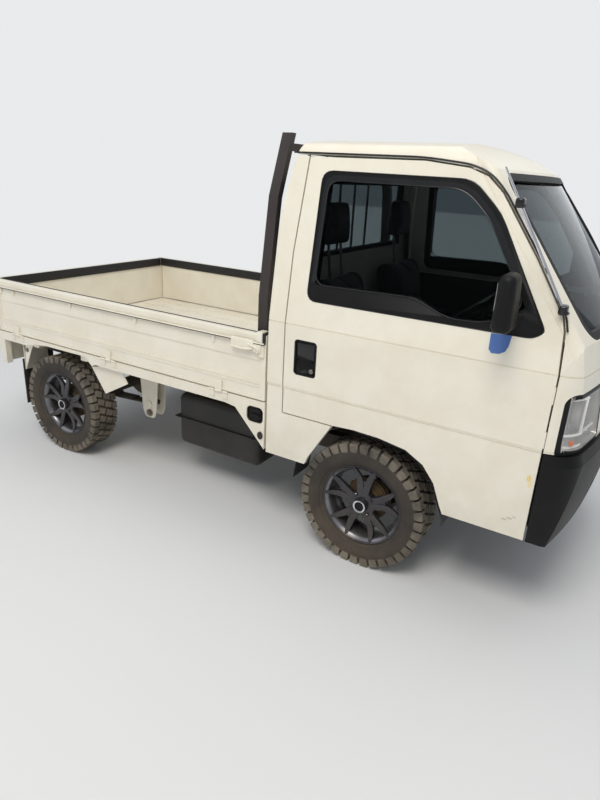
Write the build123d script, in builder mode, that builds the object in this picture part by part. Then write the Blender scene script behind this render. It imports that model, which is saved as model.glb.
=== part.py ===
"""A kei truck: a short cab over the front wheels and a flat bed with three drop gates.

Millimetres. X points forward, Y to the left, Z up. The origin is on the ground,
under the middle of the truck. Places on the cab are written from the front hub, so
FX + 661 is 661 mm ahead of it, and places on the bed from the rear hub or the tail.
"""
from build123d import *
import math
import os

os.makedirs("parts", exist_ok=True)

# Driving dimensions of the whole truck
LENGTH = 3255.0
WHEELBASE = 1900.0
FRONT_OVERHANG = 855.0
BODY_HALF = 690.0
ROOF_Z = 1738.0
TRACK = 1170.0

FX = LENGTH / 2 - FRONT_OVERHANG
RX = FX - WHEELBASE
TAIL_X = -LENGTH / 2
OUT_Y = BODY_HALF + 70.0
FAR_X = FX + FRONT_OVERHANG + 100.0
FAR_Z = ROOF_Z + 60.0

# Wheels and tyres
TYRE_R = 284.0
TYRE_WIDTH = 162.0
LUGS = 26
LUG_WIDTH = 34.0
LUG_DEPTH = 9.0
RIM_R = 165.0
FLANGE_R = 180.0
RIM_WIDTH = 132.0
SPOKES = 5
SPOKE_THICK = 20.0
CAP_R = 32.0
DRUM_R = 98.0
SPINDLE_R = 24.0
WHEEL_Z = TYRE_R
WHEEL_Y = TRACK / 2

# Cab shell
NOSE_X = FX + 832.0
BOW_R = 3000.0
CORNER_R = 130.0
WALL = 38.0
SKIN_GAP = 6.0
CAB_REAR = FX - 470.0
WAIST_Z = 1020.0
CREASE_Z = 740.0
CREASE_STEP = 4.0
WAIST_TO_SHOULDER = 97.0
SHOULDER_Z = ROOF_Z - 38.0
COWL_Z = 1120.0
HEADER_Z = 1640.0
DOOR_SILL_Z = 388.0
DECK_Z = 650.0
FLOOR_Z = 424.0
SHEET = 12.0
PILLAR_ROUND = 45.0
GLASS_IN = 10.0
GLASS_THICK = 5.0
LAMP_DEPTH = 90.0

# Wheel well of the steered wheels
WELL_R = 350.0
LINER_R = 346.0

# Bed
BED_Z = 650.0
BED_FRONT = CAB_REAR - 8.0
SILL_DEPTH = 50.0
SILL_THICK = 36.0
GATE_TOP = 950.0
GATE_THICK = 33.0
GATE_GAP = 7.0
GATE_LIFT = 6.0
FLOOR_THICK = 16.0

# Chassis
RAIL_WIDTH = 50.0
FRONT_RAIL_Y = 300.0
FRONT_RAIL_BOTTOM = 335.0
FRONT_RAIL_TOP = 412.0
REAR_RAIL_Y = 430.0
REAR_RAIL_BOTTOM = 500.0
REAR_RAIL_TOP = 590.0
SPRING_Y = REAR_RAIL_Y
SPRING_WIDTH = 52.0
TOW_Y = 300.0
TOW_HOLE_R = 17.0
TOW_PLATE = 12.0

# Steering: the kingpins lean in at the top
KINGPIN_Y = WHEEL_Y - 87.0
KINGPIN_Z = 220.0
KINGPIN_LEAN = 14.0
KINGPIN_R = 26.0


def side_prism(points, y_from, y_to, radii=()):
    """A prism across the truck from an outline in X and Z, its corners rounded by radii."""
    with BuildPart() as prism:
        with BuildSketch(Plane.XZ.offset(-y_from)) as outline:
            Polygon(*points, align=None)
            for (x, z), radius in zip(points, radii):
                if radius:
                    fillet(outline.vertices().sort_by_distance((x, z, 0))[0], radius=radius)
        extrude(amount=-(y_to - y_from))
    return prism.part


def block(x_from, x_to, y_from, y_to, z_from, z_to):
    """A plain box between two corners."""
    with BuildPart() as box:
        with Locations(((x_from + x_to) / 2, (y_from + y_to) / 2, (z_from + z_to) / 2)):
            Box(x_to - x_from, abs(y_to - y_from), z_to - z_from)
    return box.part


def rod(start, end, radius):
    """A round bar between two points."""
    start, end = Vector(*start), Vector(*end)
    with BuildPart() as bar:
        with BuildSketch(Plane(start, z_dir=end - start)):
            Circle(radius)
        extrude(amount=(end - start).length)
    return bar.part


def strip(points, width, y_from, y_to):
    """A band of sheet that follows a line in X and Z, run across the truck."""
    with BuildPart() as sheet:
        with BuildSketch(Plane.XZ.offset(-y_from)):
            with BuildLine():
                Polyline(*points)
                offset(amount=width, side=Side.RIGHT, kind=Kind.INTERSECTION)
            make_face()
        extrude(amount=-(y_to - y_from))
    return sheet.part


def on_cab(points):
    """Side outline points moved from the front hub to the truck's own X."""
    return [(FX + x, z) for x, z in points]


def finish(part, name):
    """Label a piece and write it."""
    part.label = name
    export_step(part, f"parts/{name}.step")


# The cab's outer form is the meeting of four simple bodies: a nose turned about an
# upright axis behind the cab, a front section, a side profile that rounds the rear,
# and a plan that rounds the corners. The same form pulled in by a wall is its inside.
NOSE = [(NOSE_X, 250), (NOSE_X, 760), (NOSE_X - 21, WAIST_Z), (NOSE_X - 37, COWL_Z),
        (NOSE_X - 427, HEADER_Z)]
ROOF_ARC = [(NOSE_X - 427, HEADER_Z), (NOSE_X - 562, ROOF_Z - 35), (NOSE_X - 742, ROOF_Z + 7)]
BOW_X = NOSE_X - BOW_R
SHOULDER_Y = BODY_HALF - WAIST_TO_SHOULDER


def cab_section(inset):
    """The front section run along the truck: upright to the waist, then leaning in."""
    right_side = [(-SHOULDER_Y, SHOULDER_Z), (-BODY_HALF, WAIST_Z), (-BODY_HALF, CREASE_Z + CREASE_STEP),
                  (-BODY_HALF + CREASE_STEP, CREASE_Z), (-BODY_HALF + 2 * CREASE_STEP, 250)]
    left_side = [(-y, z) for y, z in reversed(right_side)]
    with BuildPart() as section:
        with BuildSketch(Plane.YZ.offset(CAB_REAR - 20)) as face:
            with BuildLine():
                Polyline(*right_side, *left_side)
                ThreePointArc(left_side[-1], (0, ROOF_Z), right_side[0])
            make_face()
            if inset:
                offset(amount=-inset, kind=Kind.INTERSECTION, mode=Mode.REPLACE)
            fillet(face.vertices().group_by(Axis.Y)[-1], radius=max(70 - inset, 10))
        extrude(amount=FAR_X - CAB_REAR)
    return section.part


def side_at(z):
    """Half width of the cab at a height above the waist."""
    return BODY_HALF - WAIST_TO_SHOULDER * (z - WAIST_Z) / (SHOULDER_Z - WAIST_Z)


def screen_at(y, z):
    """X of the windshield's surface at a place across and a height."""
    share = (z - COWL_Z) / (HEADER_Z - COWL_Z)
    radius = BOW_R - 37 - share * 390
    return BOW_X + math.sqrt(radius ** 2 - y ** 2)


def pillar_rounding(inset, side):
    """The sliver outside a windshield pillar's rounded corner."""
    low = Vector(screen_at(side_at(COWL_Z), COWL_Z), side * side_at(COWL_Z), COWL_Z)
    high = Vector(screen_at(side_at(HEADER_Z), HEADER_Z), side * side_at(HEADER_Z), HEADER_Z)
    run = (high - low).normalized()
    outward = Vector(0.55, side * 0.76, 0.0)
    outward = (outward - run * outward.dot(run)).normalized()
    reach = PILLAR_ROUND * 0.245
    corner = low - outward * inset * 1.24 - run * 200
    with BuildPart() as sliver:
        with BuildSketch(Plane(corner, x_dir=outward, z_dir=run)):
            with BuildLine():
                ThreePointArc((-reach * 1.9, reach * 2.5), (-reach, 0), (-reach * 1.9, -reach * 2.5))
                Polyline((-reach * 1.9, -reach * 2.5), (20, -80), (80, 0), (20, 80),
                         (-reach * 1.9, reach * 2.5))
            make_face()
        extrude(amount=(high - low).length + 300)
    return sliver.part


def plan_face(rear_x, nose_x, side, corner_r):
    """Plan view of a body with bowed nose, whose corners run smoothly from side to nose."""
    meet_y = (side - corner_r) / (1 - corner_r / BOW_R)
    slope = meet_y / BOW_R
    meet_x = nose_x - BOW_R + BOW_R * math.sqrt(1 - slope ** 2)
    middle_x = meet_x - corner_r * math.sqrt(1 - slope ** 2)
    tip_x = meet_x + meet_y * slope / math.sqrt(1 - slope ** 2)
    half_turn = math.radians(45) + math.asin(slope) / 2
    arc_x = middle_x + corner_r * math.cos(half_turn)
    arc_y = side - corner_r + corner_r * math.sin(half_turn)
    with BuildSketch() as face:
        with BuildLine():
            Polyline((middle_x, -side), (rear_x, -side), (rear_x, side), (middle_x, side))
            ThreePointArc((middle_x, side), (arc_x, arc_y), (meet_x, meet_y))
            Polyline((meet_x, meet_y), (tip_x, 0), (meet_x, -meet_y))
            ThreePointArc((meet_x, -meet_y), (arc_x, -arc_y), (middle_x, -side))
        make_face()
    return face.sketch


def cab_form(inset):
    """The cab's outer form, or the same form pulled in by inset."""
    with BuildPart() as nose:
        with BuildSketch(Plane.XZ):
            with BuildLine():
                Polyline((BOW_X, 250), *NOSE)
                ThreePointArc(*ROOF_ARC)
                Polyline(ROOF_ARC[-1], (BOW_X, ROOF_ARC[-1][1]), (BOW_X, 250))
            make_face()
            if inset:
                offset(amount=-inset, kind=Kind.INTERSECTION, mode=Mode.REPLACE)
        revolve(axis=Axis((BOW_X + inset, 0, 0), (0, 0, 1)))
    top = ROOF_Z + 7
    with BuildPart() as profile:
        with BuildSketch(Plane.XZ.offset(-OUT_Y - 100)):
            with BuildLine():
                Polyline((CAB_REAR, 250), (CAB_REAR, 1300))
                ThreePointArc((CAB_REAR, 1300), (CAB_REAR + 14, 1500), (CAB_REAR + 50, top - 75))
                ThreePointArc((CAB_REAR + 50, top - 75), (CAB_REAR + 72, top - 23), (CAB_REAR + 120, top))
                Polyline((CAB_REAR + 120, top), (FAR_X, top), (FAR_X, 250), (CAB_REAR, 250))
            make_face()
            if inset:
                offset(amount=-inset, kind=Kind.INTERSECTION, mode=Mode.REPLACE)
        extrude(amount=2 * OUT_Y + 200)
    with BuildPart() as plan:
        with BuildSketch(Plane.XY.offset(200)):
            add(plan_face(CAB_REAR - 10, NOSE_X, BODY_HALF + 1, CORNER_R))
            if inset:
                offset(amount=-inset, kind=Kind.INTERSECTION, mode=Mode.REPLACE)
        extrude(amount=FAR_Z)
    form = cab_section(inset) & nose.part
    form = form & profile.part
    form = form & plan.part
    for hand in (-1, 1):
        form = form - pillar_rounding(inset, hand)
    return form


CREASE_DEPTH = 2.5
OUTER = cab_form(0.0)
INNER = cab_form(WALL)
creased = cab_form(CREASE_DEPTH)
for crease_z in (WAIST_Z, CREASE_Z + 8):
    ring = block(CAB_REAR - 50, FAR_X, -OUT_Y, OUT_Y, crease_z - 2.5, crease_z + 2.5) & OUTER
    OUTER = OUTER - (ring - creased)
SHELL = OUTER - INNER
GLASS = cab_form(GLASS_IN) - cab_form(GLASS_IN + GLASS_THICK)

# What lies inboard of the doors: the door walls stop there and the pillars begin
SIDE_CORE = cab_section(WALL)
PILLAR_CORE = cab_section(WALL + SKIN_GAP)

# Outlines on the cab's side, X from the front hub and Z from the ground
DOOR_FRONT = [(661, DOOR_SILL_Z), (663, WAIST_Z), (650, 1156)]
DOOR_TOP = [(636, 1205), (524, 1368), (374, 1566), (317, 1615), (253, 1638), (96, 1655), (-362, 1655)]
DOOR_REAR = [(-387, 1301), (-387, 628), (-143, 628)]
ARCH = [(-49, 634), (65, 630), (180, 612), (256, 570), (307, 507), (342, 419), (357, DOOR_SILL_Z)]
REAR_ARCH = [(-268, 413), (-254, 449), (-160, 605), (-150, 622)]
WINDOW_FRAME = [(-300, 1608), (275, 1603), (385, 1503), (597, 1150), (560, 1124), (-304, 1124)]
FRAME_RADII = [34, 80, 60, 10, 30, 40]
WINDOW = [(-270, 1576), (250, 1572), (352, 1484), (520, 1216), (411, 1150), (269, 1143),
          (136, 1197), (-276, 1189)]
WINDOW_RADII = [22, 60, 50, 8, 20, 60, 60, 12]
ROOF_LINE = [(-600, 1664), (96, 1661), (254, 1644), (321, 1621), (378, 1571), (529, 1371),
             (641, 1208), (656, 1160), (662, COWL_Z)]
PILLAR_LINE = [(-600, 1620), (80, 1620), (235, 1600), (330, 1530), (480, 1340), (600, COWL_Z)]
ABOVE = [(1100, COWL_Z), (1100, FAR_Z), (-600, FAR_Z)]
HANDLE = (-341, -235, 812, 963)
HANDLE_DEPTH = 18.0
HANDLE_OUTLINE = on_cab([(HANDLE[0], HANDLE[2]), (HANDLE[1], HANDLE[2]), (HANDLE[1], HANDLE[3]),
                         (HANDLE[0], HANDLE[3])])

# The wheel well that the front wheels steer in
with BuildPart() as well:
    with BuildSketch(Plane.XZ.offset(WALL - BODY_HALF - 10)):
        with Locations((FX, WHEEL_Z)):
            Circle(WELL_R)
    extrude(amount=2 * (BODY_HALF - WALL + 10))

# Right door: the side wall inside its outline, with window, well and handle cut
HINGE_AXIS = (FX + 664, -BODY_HALF)
arch_lip = strip(on_cab(ARCH), -8, -BODY_HALF + 7, -BODY_HALF + WALL)
with BuildPart() as door_right:
    add(OUTER)
    add(side_prism(on_cab(DOOR_FRONT + DOOR_TOP + DOOR_REAR + ARCH), -OUT_Y, -300), mode=Mode.INTERSECT)
    add(SIDE_CORE, mode=Mode.SUBTRACT)
    add(side_prism(on_cab(WINDOW_FRAME), -OUT_Y, -300, FRAME_RADII), mode=Mode.SUBTRACT)
    add(well.part, mode=Mode.SUBTRACT)
    add(side_prism(HANDLE_OUTLINE, -OUT_Y, HANDLE_DEPTH - BODY_HALF, (16, 16, 16, 16)), mode=Mode.SUBTRACT)
    add(arch_lip, mode=Mode.SUBTRACT)
    for z in (CREASE_Z + 20, CREASE_Z + 180):
        add(rod((*HINGE_AXIS, z), (*HINGE_AXIS, z + 60), 2.6))

with BuildPart() as door_glass_right:
    add(GLASS)
    add(side_prism(on_cab(WINDOW), -OUT_Y, -300, WINDOW_RADII), mode=Mode.INTERSECT)

# Black trim of the right door: window surround, arch lip, handle and mirror
MIRROR = (FX + 487, -BODY_HALF - 102, 1250)
MIRROR_SIZE = (64, 128, 182)
with BuildPart() as mirror_housing:
    with Locations(MIRROR):
        Box(*MIRROR_SIZE)
    fillet(mirror_housing.edges().filter_by(Axis.X), radius=26)
    fillet(mirror_housing.faces().sort_by(Axis.X)[-1].edges(), radius=20)
with BuildPart() as door_trim_right:
    add(OUTER)
    add(side_prism(on_cab(WINDOW_FRAME), -OUT_Y, -300, FRAME_RADII), mode=Mode.INTERSECT)
    add(SIDE_CORE, mode=Mode.SUBTRACT)
    add(side_prism(on_cab(WINDOW), -OUT_Y, -300, WINDOW_RADII), mode=Mode.SUBTRACT)
    handle_y = -BODY_HALF + HANDLE_DEPTH
    add(side_prism(HANDLE_OUTLINE, handle_y - 17, handle_y, (16, 16, 16, 16)))
    add(block(FX + HANDLE[0] + 8, FX + HANDLE[1] - 8, handle_y - 20, handle_y - 5, HANDLE[2] + 8,
              HANDLE[3] - 8), mode=Mode.SUBTRACT)
    add(side_prism(on_cab([(HANDLE[0] + 10, HANDLE[3] - 10), (HANDLE[1] - 10, HANDLE[3] - 10),
                           (HANDLE[1] - 10, HANDLE[2] + 62), (HANDLE[0] + 10, HANDLE[2] + 74)]),
                   handle_y - 15, handle_y - 3))
    add(arch_lip)
    add(mirror_housing.part)
    add(block(MIRROR[0] + 4, MIRROR[0] + 30, MIRROR[1] + 50, -BODY_HALF + 52, 1172, 1196))
    add(block(MIRROR[0] - 13, MIRROR[0] + 2, MIRROR[1] + 50, -BODY_HALF + 60, 1300, 1316))

# Rear wall with its window opening, and the two quarter panels
QUARTER = on_cab([(-600, 413), *REAR_ARCH, (-393, 622), (-393, 1301), (-368, 1657), (-600, 1657)])
REAR_WINDOW_HALF = BODY_HALF - 130
REAR_WINDOW_Z = (1248, 1573)
with BuildPart() as cab_back:
    add(SHELL)
    add(side_prism(QUARTER, -OUT_Y, OUT_Y), mode=Mode.INTERSECT)
    add(well.part, mode=Mode.SUBTRACT)
    add(block(CAB_REAR - 50, CAB_REAR + 100, -REAR_WINDOW_HALF, REAR_WINDOW_HALF, *REAR_WINDOW_Z),
        mode=Mode.SUBTRACT)
    add(block(CAB_REAR - 50, CAB_REAR + 100, -BODY_HALF + WALL, BODY_HALF - WALL, 250, DECK_Z),
        mode=Mode.SUBTRACT)
    for z in (760, 860, 960, 1060):
        add(block(CAB_REAR - 6, CAB_REAR + 6, -480, 480, z, z + 45), mode=Mode.SUBTRACT)

# Windshield opening seen from the front
SCREEN_LOW = (BODY_HALF - 94, COWL_Z + 4)
SCREEN_HIGH = (BODY_HALF - 138, HEADER_Z - 10)
SEAL_WIDTH = 24.0


def screen_prism(shrink):
    """The windshield's outline run back into the cab, pulled in by shrink."""
    with BuildPart() as prism:
        with BuildSketch(Plane.YZ.offset(NOSE_X - 520)) as outline:
            Polygon((-SCREEN_LOW[0], SCREEN_LOW[1]), SCREEN_LOW, SCREEN_HIGH,
                    (-SCREEN_HIGH[0], SCREEN_HIGH[1]), align=None)
            if shrink:
                offset(amount=-shrink, kind=Kind.INTERSECTION, mode=Mode.REPLACE)
            fillet(outline.vertices(), radius=max(58 - shrink, 20))
        extrude(amount=700)
    return prism.part


with BuildPart() as pillars:
    add(SHELL)
    add(PILLAR_CORE, mode=Mode.INTERSECT)
    add(side_prism(on_cab(PILLAR_LINE + ABOVE), -OUT_Y, OUT_Y), mode=Mode.INTERSECT)
    add(block(CAB_REAR - 60, FX - 330, -OUT_Y, OUT_Y, 1500, 1664), mode=Mode.SUBTRACT)
with BuildPart() as roof:
    add(SHELL)
    add(side_prism(on_cab(ROOF_LINE + ABOVE), -OUT_Y, OUT_Y), mode=Mode.INTERSECT)
    add(pillars.part)
    add(screen_prism(0), mode=Mode.SUBTRACT)

with BuildPart() as window_seals:
    add(SHELL)
    add(screen_prism(0), mode=Mode.INTERSECT)
    add(screen_prism(SEAL_WIDTH), mode=Mode.SUBTRACT)
    add(block(CAB_REAR - 3, CAB_REAR + 30, -REAR_WINDOW_HALF, REAR_WINDOW_HALF, *REAR_WINDOW_Z))
    add(block(CAB_REAR - 9, CAB_REAR + 60, 18 - REAR_WINDOW_HALF, REAR_WINDOW_HALF - 18,
              REAR_WINDOW_Z[0] + 18, REAR_WINDOW_Z[1] - 18), mode=Mode.SUBTRACT)

with BuildPart() as glazing:
    add(GLASS)
    add(screen_prism(SEAL_WIDTH), mode=Mode.INTERSECT)
    add(block(CAB_REAR + 12, CAB_REAR + 12 + GLASS_THICK, 18 - REAR_WINDOW_HALF, REAR_WINDOW_HALF - 18,
              REAR_WINDOW_Z[0] + 18, REAR_WINDOW_Z[1] - 18))

# Front panel, headlamps with their reflectors, and the black bezels
LAMP_X = FX + 716
LAMP_Y = BODY_HALF - 260
LAMP_Z = (758, 946)
BEZEL = 16.0
PANEL = on_cab([(668, CREASE_Z + 3), (1100, CREASE_Z + 3), (1100, COWL_Z), (662, COWL_Z), (669, WAIST_Z)])
LAMP_BACK = cab_form(LAMP_DEPTH)
LENS = OUTER - cab_form(GLASS_THICK)


def lamp_region(grow, side):
    """The rounded form that a headlamp fills on one side, grown all round."""
    low, high = LAMP_Z[0] - grow, LAMP_Z[1] + grow
    rear, inner = LAMP_X - grow, side * (LAMP_Y - grow)
    low_radius, high_radius = max(24 - grow, 6), 26 + grow
    from_side = side_prism([(rear, low), (FAR_X, low), (FAR_X, high), (rear, high)], -OUT_Y, OUT_Y,
                           (low_radius, 0, 0, high_radius))
    with BuildPart() as from_front:
        with BuildSketch(Plane.YZ.offset(FX + 500)) as outline:
            Polygon((inner, low), (side * OUT_Y, low), (side * OUT_Y, high), (inner, high), align=None)
            for height, radius in ((low, low_radius), (high, high_radius)):
                fillet(outline.vertices().sort_by_distance((inner, height, 0))[0], radius=radius)
        extrude(amount=FAR_X - FX - 500)
    return from_side & from_front.part


with BuildPart() as front_panel:
    add(SHELL)
    add(side_prism(PANEL, -OUT_Y, OUT_Y), mode=Mode.INTERSECT)
    for hand in (-1, 1):
        add(lamp_region(BEZEL, hand), mode=Mode.SUBTRACT)

bezel_parts = []
lens_parts = []
for hand in (-1, 1):
    with BuildPart() as bezel:
        add(OUTER)
        add(lamp_region(BEZEL, hand), mode=Mode.INTERSECT)
        add(LAMP_BACK, mode=Mode.SUBTRACT)
        with BuildPart(mode=Mode.PRIVATE) as cavity:
            add(lamp_region(0, hand))
            add(cab_form(LAMP_DEPTH - 8), mode=Mode.SUBTRACT)
        add(cavity.part, mode=Mode.SUBTRACT)
    bezel_parts.append(bezel.part)
    with BuildPart() as lens:
        add(LENS)
        add(lamp_region(0, hand), mode=Mode.INTERSECT)
    lens_parts.append(lens.part)

with BuildPart() as lamp_bezels:
    add(bezel_parts)
with BuildPart() as headlamps:
    add(lens_parts)

# Reflector bowls: a large main one and a small one for the turn signal below it
BOWLS = [("main", 135, 874, 60, 44), ("turn", 155, 784, 20, 26)]
with BuildPart() as lamp_reflectors:
    for hand in (-1, 1):
        for name, in_from_side, z, mouth_r, depth in BOWLS:
            y = BODY_HALF - in_from_side
            rim_x = BOW_X + math.sqrt((BOW_R - 8) ** 2 - y ** 2) - 24
            bowl = [(0, mouth_r), (-depth * 0.55, mouth_r * 0.93), (-depth, mouth_r * 0.5), (-depth, 0),
                    (5 - depth, 0), (-depth * 0.82, mouth_r * 0.36), (-depth * 0.5, mouth_r * 0.74),
                    (0, mouth_r - 4)]
            with BuildSketch(Plane.XZ.offset(-hand * y)):
                Polygon(*[(rim_x + back, z + up) for back, up in bowl], align=None)
            revolve(axis=Axis((rim_x, hand * y, z), (1, 0, 0)))
            add(rod((rim_x - depth + 3, hand * y, z), (LAMP_X - 8, hand * y, z), mouth_r * 0.3))

# Bumper: leans back and tucks in below a soft fold, with an open intake and a plate seat
BUMPER_NOSE = FX + FRONT_OVERHANG
BUMPER_TOP = CREASE_Z - 2
BUMPER_CORNER = 110.0
FOLD_Z = CREASE_Z - 40
FOLD_IN = 13.0
BUMPER_SIDE = BODY_HALF + 2
INTAKE_HALF = 300.0
SLOTS = [(430, 445), (453, 464), (472, 483), (491, 505)]
PLATE_SIZE = (330, 165)
PLATE_THICK = 2.0
PLATE_SEAT = BUMPER_NOSE - PLATE_THICK
with BuildPart() as bumper_face:
    with BuildSketch(Plane.XZ):
        with BuildLine():
            Polyline((BUMPER_NOSE - 39, 370), (BUMPER_NOSE - 39, DOOR_SILL_Z - 2))
            ThreePointArc((BUMPER_NOSE - 39, DOOR_SILL_Z - 2), (BUMPER_NOSE - 11, 548), (BUMPER_NOSE, FOLD_Z))
            Polyline((BUMPER_NOSE, FOLD_Z), (BUMPER_NOSE - BOW_R, FOLD_Z), (BUMPER_NOSE - BOW_R, 370),
                     (BUMPER_NOSE - 39, 370))
        make_face()
    revolve(axis=Axis((BUMPER_NOSE - BOW_R, 0, 0), (0, 0, 1)))
bumper_section = [(1 - BUMPER_SIDE, FOLD_Z), (1 - BUMPER_SIDE, 560), (7 - BUMPER_SIDE, DOOR_SILL_Z - 1)]
with BuildPart() as bumper_lower:
    with BuildSketch(Plane.YZ.offset(FX + 600)):
        Polygon(*bumper_section, *[(-y, z) for y, z in reversed(bumper_section)], align=None)
    extrude(amount=FRONT_OVERHANG)
    with BuildPart(mode=Mode.PRIVATE) as bumper_plan:
        with BuildSketch(Plane.XY.offset(360)):
            add(plan_face(FX + 600, BUMPER_NOSE, BUMPER_SIDE - 1, BUMPER_CORNER))
        extrude(amount=400)
    add(bumper_plan.part, mode=Mode.INTERSECT)
    add(bumper_face.part, mode=Mode.INTERSECT)
with BuildPart() as bumper_upper:
    for height, shrink in ((FOLD_Z, 0.0), (BUMPER_TOP, FOLD_IN)):
        with BuildSketch(Plane.XY.offset(height)):
            add(plan_face(FX + 640, BUMPER_NOSE - shrink, BUMPER_SIDE - 1 - shrink / 2, BUMPER_CORNER))
            with Locations((BUMPER_NOSE - shrink - BOW_R, 0)):
                Circle(BOW_R, mode=Mode.INTERSECT)
    loft(ruled=True)
with BuildPart() as bumper:
    add(bumper_lower.part)
    add(bumper_upper.part)
    add(cab_form(WALL - 2), mode=Mode.SUBTRACT)
    add(block(FX + 500, FX + 669, -OUT_Y, OUT_Y, 300, 800), mode=Mode.SUBTRACT)
    for low, high in SLOTS:
        add(block(FX + 700, FAR_X, -INTAKE_HALF, INTAKE_HALF, low, high), mode=Mode.SUBTRACT)
    pad = PLATE_SIZE[0] / 2 + 6
    add(block(PLATE_SEAT, FAR_X, -pad, pad, 546, 724), mode=Mode.SUBTRACT)
    add(block(PLATE_SEAT - 34, PLATE_SEAT, -pad, pad, 546, 724))

# Floor pan: toe board, foot well, riser and seat deck, with the wheel housings under it
PAN = on_cab([(752, 730), (706, FLOOR_Z), (352, FLOOR_Z), (352, DECK_Z), (-420, DECK_Z)])
with BuildPart() as cab_floor:
    add(strip(PAN, SHEET, -BODY_HALF + 52, BODY_HALF - 52))
    add(INNER, mode=Mode.INTERSECT)
    for hand in (-1, 1):
        inner_y, outer_y = hand * (WHEEL_Y - 85), hand * (BODY_HALF - 52)
        with BuildSketch(Plane.XZ.offset(-inner_y)):
            with Locations((FX, WHEEL_Z)):
                Circle(LINER_R + 4)
                Circle(LINER_R, mode=Mode.SUBTRACT)
            with Locations((FX, WHEEL_Z - 180)):
                Rectangle(3 * LINER_R, 400, mode=Mode.SUBTRACT)
        extrude(amount=-(outer_y - inner_y))
        add(block(FX - 2, FX + 2, inner_y, outer_y, WHEEL_Z + LINER_R, DECK_Z + 4))

# Dashboard with its instrument hood
with BuildPart() as dashboard:
    add(side_prism(on_cab([(560, 800), (735, 760), (760, 1086), (590, 1100), (535, 1040)]),
                   -BODY_HALF + 54, BODY_HALF - 54))
    add(INNER, mode=Mode.INTERSECT)
    for hand in (-1, 1):
        add(lamp_region(BEZEL + 6, hand), mode=Mode.SUBTRACT)
    add(side_prism(on_cab([(520, 1035), (600, 1020), (690, 1100), (560, 1142), (522, 1120)]), -490, -170))

# Steering wheel on its slanting column
STEER = Vector(FX + 285, -330, 1138)
COLUMN = Vector(-236, 0, 288).normalized()
STEER_R = 184.0
STEER_GRIP = 13.0
with BuildPart() as steering_wheel:
    with BuildSketch(Plane(STEER + Vector(0, STEER_R, 0), x_dir=(0, 1, 0),
                           z_dir=COLUMN.cross(Vector(0, 1, 0)))):
        RegularPolygon(STEER_GRIP, 8)
    revolve(axis=Axis(STEER, COLUMN))
    with BuildSketch(Plane(STEER - COLUMN * 42, x_dir=(0, 1, 0), z_dir=COLUMN)):
        Circle(66)
    extrude(amount=36)
    with BuildSketch(Plane(STEER - COLUMN * 22, x_dir=(0, 1, 0), z_dir=COLUMN)):
        for turn in (0, 90, 180):
            with Locations(Location((0, 0, 0), (0, 0, turn))):
                with Locations((STEER_R / 2, 0)):
                    Rectangle(STEER_R - 8, 44)
    extrude(amount=14)

with BuildPart() as steering_column:
    add(rod(STEER - COLUMN * 48, STEER - COLUMN * 470, 32))
    add(dashboard.part, mode=Mode.SUBTRACT)
    add(rod(STEER - COLUMN * 90 - Vector(0, 0, 0), STEER - COLUMN * 90 + Vector(0, 190, 22), 7))
    add(rod(STEER - COLUMN * 90 - Vector(0, 0, 0), STEER - COLUMN * 90 + Vector(0, -190, 22), 7))

# Seats: cushion, leaning back and headrest on two posts
SEAT_INNER = 110.0
SEAT_WIDTH = 490.0
CUSHION = on_cab([(170, DECK_Z + 14), (196, 740), (176, 800), (60, 812), (-230, 772), (-345, DECK_Z + 14)])
BACK = on_cab([(-215, 770), (-322, 1320), (-350, 1348), (-396, 1340), (-410, 1200), (-352, 740)])


def cushioned(points, y_from, y_to, radius):
    """A prism across the truck with its two side outlines rounded over."""
    with BuildPart() as pad:
        add(side_prism(points, y_from, y_to))
        fillet(pad.faces().filter_by(Axis.Y).edges(), radius=radius)
    return pad.part


with BuildPart() as seat_right:
    add(cushioned(CUSHION, -SEAT_INNER - SEAT_WIDTH, -SEAT_INNER, 9))
    add(cushioned(BACK, -SEAT_INNER - SEAT_WIDTH + 12, -SEAT_INNER - 12, 9))
    seat_mid = -SEAT_INNER - SEAT_WIDTH / 2
    for y in (seat_mid - 55, seat_mid + 55):
        add(rod((FX - 362, y, 1330), (FX - 368, y, 1400), 6))
    with BuildPart(mode=Mode.PRIVATE) as headrest:
        with Locations((FX - 366, seat_mid, 1430)):
            Box(84, 270, 170)
        fillet(headrest.edges(), radius=30)
    add(headrest.part)

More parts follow.
